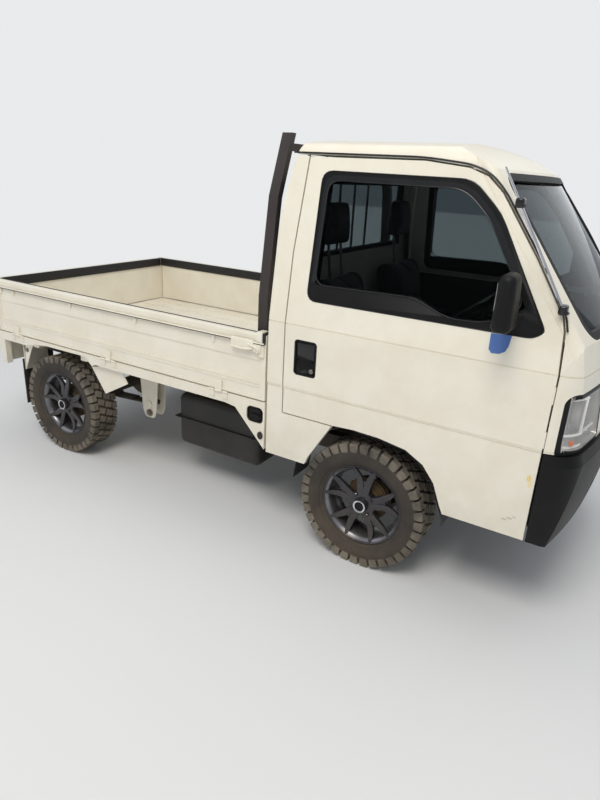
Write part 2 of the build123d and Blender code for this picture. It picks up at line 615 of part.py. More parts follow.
# Chassis frame: rails narrow between the front wheels and wide under the bed
KICK_X = CAB_REAR
TOW_EYES = [([(FX + 620, 310), (FX + 700, 310), (FX + 700, 374), (FX + 620, 374)], (FX + 674, 340)),
            ([(TAIL_X + 4, 382), (TAIL_X + 70, 382), (TAIL_X + 120, 420), (TAIL_X + 150, 534),
              (TAIL_X + 100, 534), (TAIL_X + 84, 460), (TAIL_X + 60, 444), (TAIL_X + 4, 444)],
             (TAIL_X + 32, 412))]
CROSS = [(TAIL_X + 130, 520, 570), (RX - 250, 520, 570), (RX + 370, 520, 570), (RX + 770, 520, 570)]
with BuildPart() as frame:
    for hand in (-1, 1):
        add(block(KICK_X, FX + 640, hand * (FRONT_RAIL_Y - RAIL_WIDTH / 2),
                  hand * (FRONT_RAIL_Y + RAIL_WIDTH / 2), FRONT_RAIL_BOTTOM, FRONT_RAIL_TOP))
        add(block(TAIL_X + 60, KICK_X, hand * (REAR_RAIL_Y - RAIL_WIDTH / 2),
                  hand * (REAR_RAIL_Y + RAIL_WIDTH / 2), REAR_RAIL_BOTTOM, REAR_RAIL_TOP))
    add(block(KICK_X - 60, KICK_X, -REAR_RAIL_Y - 25, REAR_RAIL_Y + 25, FRONT_RAIL_BOTTOM, REAR_RAIL_TOP))
    for x, low, high in CROSS:
        add(block(x - 30, x + 30, -REAR_RAIL_Y, REAR_RAIL_Y, low, high))
    add(block(FX + 580, FX + 640, -FRONT_RAIL_Y, FRONT_RAIL_Y, FRONT_RAIL_BOTTOM + 5, FRONT_RAIL_TOP - 2))
    add(block(KICK_X - 100, KICK_X + 50, -112, 112, 300, 512), mode=Mode.SUBTRACT)
    for outline, hole in TOW_EYES:
        add(side_prism(outline, TOW_Y - TOW_PLATE / 2, TOW_Y + TOW_PLATE / 2))
        with BuildSketch(Plane.XZ.offset(-TOW_Y - TOW_PLATE)):
            with Locations(hole):
                Circle(TOW_HOLE_R)
        extrude(amount=2 * TOW_PLATE, mode=Mode.SUBTRACT)

# Bed: grooved floor, deep sills with wheel arch, filler gusset and rear stay, headboard
SILL_Z = BED_Z - SILL_DEPTH
TAILGATE_X = TAIL_X + 10
SILL_RIGHT = [(BED_FRONT, BED_Z - 2), (BED_FRONT, 425), (BED_FRONT - 162, 592), (BED_FRONT - 222, SILL_Z),
              (RX + 340, SILL_Z), (RX + 316, 588), (RX + 266, 631), (RX - 51, 629), (RX - 130, 620),
              (RX - 222, SILL_Z), (TAIL_X + 75, SILL_Z), (TAIL_X + 75, 453), (TAIL_X + 40, 453),
              (TAILGATE_X, SILL_Z), (TAILGATE_X, BED_Z - 2)]
FILLER = [(BED_FRONT - 97, 542), (BED_FRONT - 8, 542), (BED_FRONT - 8, 618), (BED_FRONT - 97, 618)]
DRAIN = (BED_FRONT - 20, 489)
GUARD_X = BED_FRONT - 62
FLOOR_REAR = TAILGATE_X + GATE_THICK + GATE_GAP
GROOVES = 9
with BuildPart() as bed_floor:
    for hand in (-1, 1):
        add(side_prism(SILL_RIGHT, hand * (BODY_HALF - SILL_THICK), hand * BODY_HALF))
    add(block(TAILGATE_X, BED_FRONT, -BODY_HALF + 1, BODY_HALF - 1, BED_Z - FLOOR_THICK, BED_Z - 2))
    floor_half = BODY_HALF - GATE_THICK - GATE_GAP
    add(block(FLOOR_REAR, GUARD_X - 34, -floor_half, floor_half, BED_Z - 4, BED_Z))
    with Locations(((FLOOR_REAR + GUARD_X) / 2 - 17, 0, BED_Z)):
        with GridLocations(0, 2 * floor_half / (GROOVES + 0.5), 1, GROOVES):
            Box(GUARD_X - FLOOR_REAR - 160, 46, 10, mode=Mode.SUBTRACT)
    add(block(TAILGATE_X, TAIL_X + 50, -BODY_HALF + 1, BODY_HALF - 1, SILL_Z, BED_Z - FLOOR_THICK))
    for share in range(1, 5):
        place = BED_FRONT - share * 400
        add(block(place - 25, place + 25, -BODY_HALF + 30, BODY_HALF - 30, REAR_RAIL_TOP,
                  BED_Z - FLOOR_THICK))
    add(block(BED_FRONT - 28, BED_FRONT, -BODY_HALF + 44, BODY_HALF - 44, BED_Z - 4, GATE_TOP + 4))
    for z in (700, 780, 860):
        add(block(BED_FRONT - 34, BED_FRONT - 20, -560, 560, z, z + 46), mode=Mode.SUBTRACT)
    add(block(TAIL_X + 34, TAIL_X + 40, -BODY_HALF + 10, BODY_HALF - 10, 455, SILL_Z))
    add(side_prism(FILLER, -OUT_Y, -500, (24, 24, 24, 24)), mode=Mode.SUBTRACT)
    add(rod((DRAIN[0], -OUT_Y, DRAIN[1]), (DRAIN[0], -500, DRAIN[1]), 12), mode=Mode.SUBTRACT)
    for hand in (-1, 1):
        for x in (RX + 1168, RX + 450, RX - 290):
            for shift in (-38, 38):
                add(rod((x + shift - 14, hand * (BODY_HALF + 5), BED_Z), (x + shift + 14,
                        hand * (BODY_HALF + 5), BED_Z), 5))
                add(block(x + shift - 14, x + shift + 14, hand * (BODY_HALF - 2), hand * (BODY_HALF + 6),
                          BED_Z - 30, BED_Z - 3))

# Side gate: a pressed panel with a top rail, hooks under it, latches and hinge straps
GATE_BASE = BED_Z + GATE_LIFT
GATE_FRONT = BED_FRONT - 2
GATE_REAR = TAILGATE_X + GATE_THICK + GATE_GAP
HINGE_X = (RX + 1168, RX + 450, RX - 290)
HOOK_X = (RX + 1137, RX + 655, RX + 183, RX - 288, RX - 399)
GATE_Y = -BODY_HALF
# Bands pressed along the gates: from height, to height, distance from the ends, and depth,
# or less than nothing for a rib that stands out again to that depth
PRESSINGS = [(GATE_BASE + 12, GATE_TOP - 38, 12, 4), (742, 834, 26, 8), (712, 722, 30, -1), (726, 734, 30, -2)]
with BuildPart() as gate_right:
    add(block(GATE_REAR, GATE_FRONT, GATE_Y, GATE_Y + GATE_THICK, GATE_BASE, GATE_TOP))
    for low, high, end, depth in PRESSINGS:
        if depth > 0:
            add(block(GATE_REAR + end, GATE_FRONT - end, GATE_Y - 1, GATE_Y + depth, low, high),
                mode=Mode.SUBTRACT)
        else:
            add(block(GATE_REAR + end, GATE_FRONT - end, GATE_Y - depth, GATE_Y + 14, low, high))
    fillet(gate_right.edges().filter_by(Axis.X).group_by(Axis.Z)[-1], radius=7)
    for x in HOOK_X:
        add(rod((x, GATE_Y - 1, GATE_TOP - 40), (x, GATE_Y - 1, GATE_TOP - 72), 6))
        add(rod((x, GATE_Y - 1, GATE_TOP - 66), (x, GATE_Y + 8, GATE_TOP - 66), 5))
    add(rod((HOOK_X[-1] - 30, GATE_Y - 1, GATE_TOP - 42), (GATE_FRONT - 150, GATE_Y - 1, GATE_TOP - 42), 4))
    for x in HINGE_X:
        add(rod((x - 18, GATE_Y - 5, BED_Z), (x + 18, GATE_Y - 5, BED_Z), 5))
        add(block(x - 18, x + 18, GATE_Y - 6, GATE_Y + 2, BED_Z + 1, GATE_BASE + 44))
    for x in (GATE_REAR + 20, GATE_FRONT - 20):
        add(block(x - 13, x + 13, GATE_Y - 8, GATE_Y + 4, GATE_TOP - 96, GATE_TOP - 22))

with BuildPart() as tailgate:
    add(block(TAILGATE_X, TAILGATE_X + GATE_THICK, -BODY_HALF, BODY_HALF, GATE_BASE, GATE_TOP))
    for low, high, end, depth in PRESSINGS:
        reach = BODY_HALF - end
        if depth > 0:
            add(block(TAILGATE_X - 1, TAILGATE_X + depth, -reach, reach, low, high), mode=Mode.SUBTRACT)
        else:
            add(block(TAILGATE_X - depth, TAILGATE_X + 14, -reach, reach, low, high))
    fillet(tailgate.edges().filter_by(Axis.Y).group_by(Axis.Z)[-1], radius=7)
    for y in (-440, 0, 440):
        add(rod((TAILGATE_X - 5, y - 18, BED_Z), (TAILGATE_X - 5, y + 18, BED_Z), 5))
        add(block(TAILGATE_X - 6, TAILGATE_X + 2, y - 18, y + 18, BED_Z + 1, GATE_BASE + 44))

# Guard frame behind the cab: two posts that lean in, a top bar and window rods
GUARD_FOOT_Y = BODY_HALF - 70
with BuildPart() as guard_frame:
    for hand in (-1, 1):
        posts = [(hand * GUARD_FOOT_Y, BED_Z - 30), (hand * GUARD_FOOT_Y, 1100),
                 (hand * (GUARD_FOOT_Y - 55), 1500), (hand * (GUARD_FOOT_Y - 142), ROOF_Z + 7)]
        with BuildSketch(Plane.YZ.offset(GUARD_X - 23)):
            with BuildLine():
                Polyline(*posts)
                offset(amount=15, side=Side.BOTH, kind=Kind.INTERSECTION)
            make_face()
        extrude(amount=46)
    add(block(GUARD_X - 20, GUARD_X + 20, -GUARD_FOOT_Y + 120, GUARD_FOOT_Y - 120, 1678, 1706))
    add(block(GUARD_X - 14, GUARD_X + 14, -GUARD_FOOT_Y, GUARD_FOOT_Y, 1176, 1200))
    for share in (-0.5, -0.25, 0, 0.25, 0.5):
        add(rod((GUARD_X, share * GUARD_FOOT_Y, 1190), (GUARD_X, share * GUARD_FOOT_Y, 1690), 6))
    add(block(GUARD_X - 40, GUARD_X + 40, -OUT_Y, OUT_Y, BED_Z - 2, ROOF_Z + 7), mode=Mode.INTERSECT)

# Rear lamps, plates, flaps and the white brackets round the rear wheel
with BuildPart() as tail_lamps:
    for hand in (-1, 1):
        add(block(TAIL_X + 8, TAIL_X + 34, hand * (BODY_HALF - 290), hand * (BODY_HALF - SILL_THICK - 6),
                  482, 590))

PLATE_HOLE_GAP = 210.0
PLATE_HOLE_R = 3.5
with BuildPart() as plates:
    for x, z in ((TAIL_X + 34 - PLATE_THICK, 510), (PLATE_SEAT, 635)):
        with BuildSketch(Plane.YZ.offset(x)):
            with Locations((0, z)):
                Rectangle(*PLATE_SIZE)
            with Locations((0, z + 62)):
                with GridLocations(PLATE_HOLE_GAP, 0, 2, 1):
                    Circle(PLATE_HOLE_R, mode=Mode.SUBTRACT)
        extrude(amount=PLATE_THICK)

with BuildPart() as mud_flaps:
    for hand in (-1, 1):
        add(block(RX - 305, RX - 299, hand * (WHEEL_Y - 80), hand * (BODY_HALF - 18), 225, 500))

STAY = [(RX - 271, SILL_Z), (RX - 202, SILL_Z), (RX - 230, 560), (RX - 292, 436), (RX - 299, 436)]
TRIANGLE = [(RX + 281, 572), (RX + 376, 439), (RX + 548, 532), (RX + 502, SILL_Z), (RX + 420, SILL_Z)]
HANGER = [(RX + 436, REAR_RAIL_BOTTOM), (RX + 448, 312), (RX + 466, 270), (RX + 530, 270),
          (RX + 548, 312), (RX + 566, REAR_RAIL_BOTTOM)]
HANGER_HALF = SPRING_WIDTH / 2 + 4
with BuildPart() as mudguard_brackets:
    for hand in (-1, 1):
        for side in (-1, 1):
            plate_y = hand * SPRING_Y + side * HANGER_HALF
            add(side_prism(HANGER, min(plate_y, plate_y + 6 * side), max(plate_y, plate_y + 6 * side),
                           (0, 20, 24, 24, 20, 0)))
            add(rod((RX + 498, plate_y + 5 * side, 346), (RX + 498, plate_y + 12 * side, 346), 22))
        add(block(RX + 440, RX + 562, hand * SPRING_Y - HANGER_HALF, hand * SPRING_Y + HANGER_HALF,
                  REAR_RAIL_BOTTOM - 8, REAR_RAIL_BOTTOM))
        for outline in (STAY, TRIANGLE):
            add(side_prism(outline, hand * (BODY_HALF - SILL_THICK + 4), hand * (BODY_HALF - SILL_THICK + 8)))
        add(block(RX - 299, RX - 295, hand * (WHEEL_Y - 80), hand * (BODY_HALF - 28), 436, SILL_Z))

# Fuel tank of two stamped halves on the right, with its neck and cap in the gusset
TANK_X = (RX + 743, RX + 1266)
TANK_Y = (-500, -170)
TANK_SEAM_Z = 355.0
with BuildPart() as fuel_tank:
    add(block(*TANK_X, *TANK_Y, 198, 484))
    fillet(fuel_tank.edges(), radius=34)
    add(block(TANK_X[0] - 12, TANK_X[1] + 12, TANK_Y[0] - 12, TANK_Y[1] + 12, TANK_SEAM_Z - 3,
              TANK_SEAM_Z + 3))
    cap_x, cap_z = BED_FRONT - 46, 578
    add(rod((cap_x, -BODY_HALF + 20, cap_z), (cap_x, -BODY_HALF + 52, cap_z), 30))
    add(rod((cap_x, -BODY_HALF + 40, cap_z), (cap_x - 150, TANK_Y[0] + 60, 440), 20))

# Engine block between the front rails, gearbox behind it and the propeller shaft
with BuildPart() as engine:
    add(block(FX - 400, FX - 60, -225, 225, 300, 618))
    add(block(FX - 640, FX - 400, -95, 95, 330, 500))
    add(rod((FX - 640, 0, 400), (RX + 128, 0, WHEEL_Z + 8), 30))

with BuildPart() as exhaust:
    with BuildSketch(Plane.YZ.offset(RX + 720)):
        with Locations((270, 345)):
            Ellipse(110, 68)
    extrude(amount=460)
    add(rod((RX + 1165, 260, 335), (RX + 1340, 248, 302), 20))
    add(rod((RX + 1335, 248, 302), (FX - 406, 200, 302), 20))
    add(rod((RX + 740, 290, 345), (RX + 330, 250, 440), 20))
    add(rod((RX + 335, 250, 440), (TAIL_X + 170, 250, 440), 20))


def kingpin_point(side, along):
    """A point on a kingpin's leaning axis, a distance along it from its foot."""
    lean = math.radians(KINGPIN_LEAN)
    return (FX, side * (KINGPIN_Y - along * math.sin(lean)), KINGPIN_Z + along * math.cos(lean))


# Front suspension: cross-member, lower arms, steering rack and struts with springs
with BuildPart() as front_axle:
    add(block(FX - 45, FX + 45, -FRONT_RAIL_Y - 20, FRONT_RAIL_Y + 20, 232, FRONT_RAIL_BOTTOM))
    for hand in (-1, 1):
        with BuildSketch(Plane.XY.offset(178)):
            Polygon((FX - 42, hand * 240), (FX + 110, hand * 240), (FX + 28, hand * (KINGPIN_Y + 14)),
                    (FX - 28, hand * (KINGPIN_Y + 14)), align=None)
        extrude(amount=22)
        add(block(FX - 42, FX + 42, hand * 240, hand * 300, 196, 240))
        add(rod(kingpin_point(hand, 192), kingpin_point(hand, 430), 20))
        add(rod(kingpin_point(hand, 230), kingpin_point(hand, 240), 44))
        add(rod(kingpin_point(hand, 238), kingpin_point(hand, 400), 36))
        add(block(FX - 50, FX + 50, hand * 340, hand * 450, DECK_Z - SHEET - 26, DECK_Z - SHEET - 6))
        add(block(FX - 126, FX - 40, hand * 180, hand * 200, 248, 276))
    add(rod((FX - 128, 40 - FRONT_RAIL_Y, 262), (FX - 128, FRONT_RAIL_Y - 40, 262), 24))


def knuckle(side):
    """Kingpin tube along the leaning axis with the spindle and a steering arm."""
    with BuildPart() as body:
        add(rod(kingpin_point(side, -14), kingpin_point(side, 184), KINGPIN_R))
        add(rod((FX, side * (KINGPIN_Y - 14), WHEEL_Z), (FX, side * (WHEEL_Y + 4), WHEEL_Z), SPINDLE_R))
        add(block(FX - 118, FX, side * (KINGPIN_Y - 12), side * (KINGPIN_Y + 8), WHEEL_Z - 12, WHEEL_Z + 12))
    return body.part


# Rear axle: beam, differential, brake backing and two leaf springs with hangers
LEAVES = [(-410, 498, 0), (-330, 360, 1), (-210, 230, 2)]
LEAF_THICK = 8.0
with BuildPart() as rear_axle:
    add(rod((RX, -WHEEL_Y + 62, WHEEL_Z), (RX, WHEEL_Y - 62, WHEEL_Z), 36))
    add(rod((RX, -WHEEL_Y - 4, WHEEL_Z), (RX, WHEEL_Y + 4, WHEEL_Z), SPINDLE_R))
    with BuildSketch(Plane.XZ.offset(-70)):
        with Locations((RX, WHEEL_Z)):
            Circle(108)
    extrude(amount=140)
    chamfer(rear_axle.edges().filter_by(GeomType.CIRCLE).filter_by(lambda e: e.radius > 100), length=28)
    add(rod((RX + 60, 0, WHEEL_Z), (RX + 118, 0, WHEEL_Z + 8), 46))
    for hand in (-1, 1):
        y_from, y_to = hand * SPRING_Y - SPRING_WIDTH / 2, hand * SPRING_Y + SPRING_WIDTH / 2
        for rear, front, step in LEAVES:
            low = 322 + step * LEAF_THICK
            sag = 22 * ((front - rear) / 908) ** 2
            add(side_prism([(RX + rear, low + sag), (RX + rear / 2, low + sag / 4), (RX, low),
                            (RX + front / 2, low + sag / 4), (RX + front, low + sag),
                            (RX + front, low + sag + LEAF_THICK), (RX + front / 2, low + sag / 4 + LEAF_THICK),
                            (RX, low + LEAF_THICK), (RX + rear / 2, low + sag / 4 + LEAF_THICK),
                            (RX + rear, low + sag + LEAF_THICK)], y_from, y_to))
        add(block(RX - 45, RX + 45, y_from - 8, y_to + 8, 316, 360))
        for x in (RX - 410, RX + 498):
            add(rod((x, y_from - 3, 346), (x, y_to + 3, 346), 18))
        add(side_prism([(RX - 432, REAR_RAIL_BOTTOM), (RX - 426, 330), (RX - 394, 330),
                        (RX - 388, REAR_RAIL_BOTTOM)], y_from - 4, y_to + 4))
        add(rod((RX - 30, hand * (SPRING_Y - 60), WHEEL_Z + 10), (RX - 150, hand * (SPRING_Y - 90), 530), 17))

# Wipers resting on the windshield, and the rod aerial along the right pillar
WIPERS = [(-420, 260), (60, 560)]
with BuildPart() as wipers:
    for pivot_y, tip_y in WIPERS:
        pivot = Vector(screen_at(pivot_y, COWL_Z) + 6, pivot_y, COWL_Z - 14)
        tip = Vector(screen_at(tip_y, COWL_Z + 78) + 20, tip_y, COWL_Z + 78)
        middle = pivot + (tip - pivot) * 0.62 + Vector(4, 0, 4)
        add(rod(pivot - Vector(14, 0, 0), pivot + Vector(22, 0, 0), 13))
        add(rod(pivot + Vector(14, 0, 0), middle, 6))
        add(rod(pivot + (tip - pivot) * 0.22, tip, 7))
    add(OUTER, mode=Mode.SUBTRACT)

with BuildPart() as antenna:
    foot_z, tip_z = COWL_Z + 2, 1540
    foot = (screen_at(side_at(foot_z), foot_z) + 8, -side_at(foot_z) - 8, foot_z)
    tip = (screen_at(side_at(tip_z), tip_z) + 8, -side_at(tip_z) - 8, tip_z)
    add(rod(foot, tip, 4))
    for share in (0.03, 0.55):
        at = Vector(*foot) + (Vector(*tip) - Vector(*foot)) * share
        add(rod(at, at + Vector(-16, 22, 0), 8))
    add(OUTER, mode=Mode.SUBTRACT)


def rim(x, side):
    """A five-spoke rim: turned barrel, forked spokes, hub and brake drum."""
    mid = side * WHEEL_Y
    half = RIM_WIDTH / 2
    outline = [(-half, FLANGE_R), (-half, RIM_R - 6), (-18, RIM_R - 18), (18, RIM_R - 18),
               (half, RIM_R - 6), (half, FLANGE_R), (half - 7, FLANGE_R), (half - 9, RIM_R),
               (18, RIM_R - 10), (-18, RIM_R - 10), (9 - half, RIM_R), (7 - half, FLANGE_R)]
    face = Plane(origin=(x, mid + side * (half - 24), WHEEL_Z), x_dir=(1, 0, 0), z_dir=(0, side, 0))
    with BuildPart() as wheel:
        with BuildSketch(Plane.YZ.offset(x)):
            Polygon(*[(mid + across, WHEEL_Z + up) for across, up in outline], align=None)
        revolve(axis=Axis((x, 0, WHEEL_Z), (0, 1, 0)))
        with BuildSketch(face):
            Circle(54)
            with PolarLocations(0, SPOKES, start_angle=90):
                Polygon((30, -25), (98, -19), (RIM_R - 2, -52), (RIM_R - 2, -24), (112, 0),
                        (RIM_R - 2, 24), (RIM_R - 2, 52), (98, 19), (30, 25), align=None)
            Circle(RIM_R - 4, mode=Mode.INTERSECT)
        extrude(amount=SPOKE_THICK)
        with BuildSketch(face.offset(SPOKE_THICK)):
            Circle(CAP_R)
        extrude(amount=16, taper=8)
        with BuildSketch(face.offset(-half - 20)):
            Circle(DRUM_R)
            Circle(SPINDLE_R + 1.5, mode=Mode.SUBTRACT)
        extrude(amount=half - 14)
        with BuildSketch(face.offset(-34)):
            Circle(60)
        extrude(amount=36)
    return wheel.part


def tyre(x, side):
    """A many-sided carcass with a row of chunky lugs on each shoulder."""
    mid = side * WHEEL_Y
    half = TYRE_WIDTH / 2
    bead = RIM_WIDTH / 2 - 10
    base = TYRE_R - LUG_DEPTH
    corner = 1 / math.cos(math.pi / LUGS)
    sections = [(-bead, FLANGE_R + 3), (-half, 214), (-half, base - 22), (-half + 16, base),
                (half - 16, base), (half, base - 22), (half, 214), (bead, FLANGE_R + 3)]
    with BuildPart() as carcass:
        for across, radius in sections:
            with BuildSketch(Plane(origin=(x, mid + across, WHEEL_Z), x_dir=(1, 0, 0), z_dir=(0, 1, 0))):
                RegularPolygon(radius, LUGS)
        loft(ruled=True)
        with BuildSketch(Plane(origin=(x, mid - half - 1, WHEEL_Z), x_dir=(1, 0, 0), z_dir=(0, 1, 0))):
            RegularPolygon((RIM_R + 1) * corner, LUGS)
        extrude(amount=TYRE_WIDTH + 2, mode=Mode.SUBTRACT)
    return carcass.part


def lugged(x, side):
    """The tyre with its lugs: one block on each flat of the carcass, staggered from side to side."""
    mid = side * WHEEL_Y
    half = TYRE_WIDTH / 2
    top = math.sqrt(TYRE_R ** 2 - LUG_WIDTH ** 2 / 4)
    root = TYRE_R - LUG_DEPTH - 26
    with BuildPart() as body:
        add(tyre(x, side))
        for row, shift in ((-1, 0.3), (1, 0.7)):
            with BuildSketch(Plane.XZ.offset(-mid - row * (half + 2))):
                with Locations((x, WHEEL_Z)):
                    with PolarLocations((root + top) / 2, LUGS, start_angle=shift * 360 / LUGS):
                        Rectangle(top - root, LUG_WIDTH)
            extrude(amount=row * (half - 8))
    return body.part


RIGHT_PIECES = {
    "door_right": door_right,
    "door_glass_right": door_glass_right,
    "door_trim_right": door_trim_right,
    "gate_right": gate_right,
    "seat_right": seat_right,
}
for name, builder in RIGHT_PIECES.items():
    finish(builder.part, name)
    finish(builder.part.mirror(Plane.XZ), name.replace("right", "left"))

# Like pieces on the truck itself that share a node
with BuildPart() as lamp_housings:
    add(lamp_bezels.part)
    add(lamp_reflectors.part)
with BuildPart() as wipers_aerial:
    add(wipers.part)
    add(antenna.part)
with BuildPart() as dash_column:
    add(dashboard.part)
    add(steering_column.part)

MIDDLE_PIECES = {
    "cab_back": cab_back,
    "roof": roof,
    "window_seals": window_seals,
    "glazing": glazing,
    "front_panel": front_panel,
    "lamp_bezels": lamp_housings,
    "headlamps": headlamps,
    "bumper": bumper,
    "cab_floor": cab_floor,
    "dashboard": dash_column,
    "steering_wheel": steering_wheel,
    "frame": frame,
    "bed_floor": bed_floor,
    "tailgate": tailgate,
    "guard_frame": guard_frame,
    "tail_lamps": tail_lamps,
    "mud_flaps": mud_flaps,
    "mudguard_brackets": mudguard_brackets,
    "fuel_tank": fuel_tank,
    "engine": engine,
    "exhaust": exhaust,
    "front_axle": front_axle,
    "rear_axle": rear_axle,
    "plates": plates,
    "wipers": wipers_aerial,
}
for name, builder in MIDDLE_PIECES.items():
    finish(builder.part, name)

for side_name, side in (("right", -1), ("left", 1)):
    finish(knuckle(side), f"knuckle_{side_name}")
    for end, x in (("front", FX), ("rear", RX)):
        finish(rim(x, side), f"rim_{end}_{side_name}")
        finish(lugged(x, side), f"tyre_{end}_{side_name}")
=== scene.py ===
# %% [markdown]
# # Kei truck: from imported solids to a finished look
# The truck arrives as forty-five named solids in one shared frame: X forward, Y to the
# left, Z up, metres, with the ground at zero. Nothing here moves a solid. We give every
# one a finish, and we model by hand what plain solids leave out: tread, cast spokes,
# lamps, seals, latches and seats.

# %% Load the truck
import bmesh
import bpy
import math
from mathutils import Vector, Matrix


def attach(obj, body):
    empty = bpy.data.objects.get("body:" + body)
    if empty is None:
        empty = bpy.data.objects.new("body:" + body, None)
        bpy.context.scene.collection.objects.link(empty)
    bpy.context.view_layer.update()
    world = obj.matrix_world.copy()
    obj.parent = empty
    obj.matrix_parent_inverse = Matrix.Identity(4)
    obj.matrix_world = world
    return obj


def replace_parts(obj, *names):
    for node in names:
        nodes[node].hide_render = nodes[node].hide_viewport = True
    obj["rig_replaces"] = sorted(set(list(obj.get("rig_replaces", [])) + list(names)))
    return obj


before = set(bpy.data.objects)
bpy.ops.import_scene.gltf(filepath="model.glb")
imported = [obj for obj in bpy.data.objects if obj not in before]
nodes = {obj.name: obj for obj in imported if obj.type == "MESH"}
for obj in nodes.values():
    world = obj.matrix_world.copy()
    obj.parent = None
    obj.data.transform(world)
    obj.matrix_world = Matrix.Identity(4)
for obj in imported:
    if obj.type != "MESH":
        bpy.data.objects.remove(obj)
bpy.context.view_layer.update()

# %% [markdown]
# ## The camera
# A phone held at head height beside the right front wheel saw the real truck. Matching
# its place and tilt comes first. The rotation is written as three directions: right, up
# and back of the lens.

# %% Camera at the viewing angle of the photograph


def placed(name, data):
    """A new object in the scene for its data."""
    thing = bpy.data.objects.new(name, data)
    bpy.context.scene.collection.objects.link(thing)
    return thing


LENS_MM = 26.81
CAMERA_AT = Vector((1.6509, -2.7077, 1.5937))
RIGHT = Vector((0.8527139, 0.52004557, 0.04931139))
UP = Vector((-0.22457619, 0.27972504, 0.93344493))
BACK = Vector((0.47164027, -0.80703563, 0.35531528))

camera_data = bpy.data.cameras.new("camera")
camera_data.lens = LENS_MM
camera_data.sensor_width = 36.0
camera = placed("camera", camera_data)
turn = Matrix((RIGHT, UP, BACK)).transposed()
camera.matrix_world = Matrix.Translation(CAMERA_AT) @ turn.to_4x4()
bpy.context.scene.camera = camera

# %% [markdown]
# ## Writing node trees
# Floor, sky and finishes are all node trees. One small class adds a node, fills its
# sockets and hands on its output, so that a recipe reads from top to bottom.

# %% Node helper


class Recipe:
    """A node tree with short ways to add nodes and link them."""

    def __init__(self, tree):
        self.tree = tree

    def add(self, kind, settings=None, **values):
        """A new node with its settings, and a value or a link for each named socket."""
        node = self.tree.nodes.new("ShaderNode" + kind)
        for key, value in (settings or {}).items():
            setattr(node, key, value)
        for key, value in values.items():
            self.feed(node, key.replace("_", " "), value)
        return node

    def feed(self, node, socket, value):
        """Links an output to a socket, or writes a plain value into it."""
        target = node.inputs[int(socket)] if str(socket).isdigit() else node.inputs[socket]
        if isinstance(value, bpy.types.NodeSocket):
            self.tree.links.new(value, target)
        else:
            target.default_value = value

    def place(self):
        """The place on the piece itself, in metres."""
        return self.add("TexCoord").outputs["Object"]

    def math(self, kind, *values, clamp=False):
        node = self.add("Math", {"operation": kind, "use_clamp": clamp})
        for slot, value in enumerate(values):
            self.feed(node, slot, value)
        return node.outputs[0]

    def vector(self, kind, *values):
        node = self.add("VectorMath", {"operation": kind})
        for slot, value in enumerate(values):
            self.feed(node, slot, value)
        return node.outputs["Value" if kind == "LENGTH" else "Vector"]

    def blend(self, share, a, b):
        """A colour between two, by a share from 0 to 1."""
        node = self.add("Mix", {"data_type": "RGBA"}, Factor=share)
        self.feed(node, 6, a)
        self.feed(node, 7, b)
        return node.outputs[2]

    def ramp(self, value, low, high):
        """A soft step from 0 at the low value to 1 at the high one."""
        return self.add("MapRange", {"interpolation_type": "SMOOTHSTEP"}, Value=value,
                        From_Min=low, From_Max=high).outputs[0]

    def join(self, share, first, second, target):
        """Two shaders mixed by a share and linked to a target."""
        mix = self.add("MixShader")
        for slot, value in enumerate((share, first, second)):
            self.feed(mix, slot, value)
        self.tree.links.new(mix.outputs[0], target)


def new_material(name, **sockets):
    """A material with its tree in a recipe, and its shader with plain numbers set."""
    material = bpy.data.materials.new(name)
    material.use_nodes = True
    shader = material.node_tree.nodes["Principled BSDF"]
    for key, value in sockets.items():
        shader.inputs[key.replace("_", " ")].default_value = value
    return material, Recipe(material.node_tree), shader


# %% [markdown]
# ## Floor and light
# A plain pale floor and four large soft lamps show form without drama. Far from the truck
# the floor turns into the backdrop's own tone, so there is no horizon and no lamp has to
# be turned up for it, and the paint keeps the colour that is written in its material.

# %% Floor, sky and lamps
BACKDROP = (0.86, 0.87, 0.88, 1)
BACKDROP_GLOW = 0.95
FLOOR_NEAR, FLOOR_FAR = 2.4, 6.0

bpy.ops.object.select_all(action="DESELECT")
bpy.ops.mesh.primitive_plane_add(size=60, location=(0, 0, -0.001))
floor = bpy.context.object
floor.name = "floor"
floor_paint, make, shader = new_material("floor_pale", Base_Color=(0.80, 0.80, 0.79, 1), Roughness=0.9,
                                         Specular_IOR_Level=0.1)
floor.data.materials.append(floor_paint)
distance = make.vector("LENGTH", make.place())
glow = make.add("Emission", Color=BACKDROP, Strength=BACKDROP_GLOW)
make.join(make.ramp(distance, FLOOR_NEAR, FLOOR_FAR), shader.outputs[0], glow.outputs[0],
          make.tree.nodes["Material Output"].inputs["Surface"])

world = bpy.data.worlds.new("studio")
bpy.context.scene.world = world
world.use_nodes = True
make = Recipe(world.node_tree)
ambient = make.tree.nodes["Background"]
ambient.inputs["Color"].default_value = (0.80, 0.84, 0.90, 1)
ambient.inputs["Strength"].default_value = 0.50
backdrop = make.add("Background", Color=BACKDROP, Strength=BACKDROP_GLOW)
make.join(make.add("LightPath").outputs["Is Camera Ray"], ambient.outputs[0], backdrop.outputs[0],
          make.tree.nodes["World Output"].inputs["Surface"])


def soft_lamp(name, place, aim, size, power, colour):
    """A square area lamp that points at aim."""
    data = bpy.data.lights.new(name, "AREA")
    data.shape = "SQUARE"
    data.size = size
    data.energy = power
    data.color = colour
    lamp = placed(name, data)
    lamp.location = place
    lamp.rotation_euler = (Vector(aim) - Vector(place)).to_track_quat("-Z", "Y").to_euler()


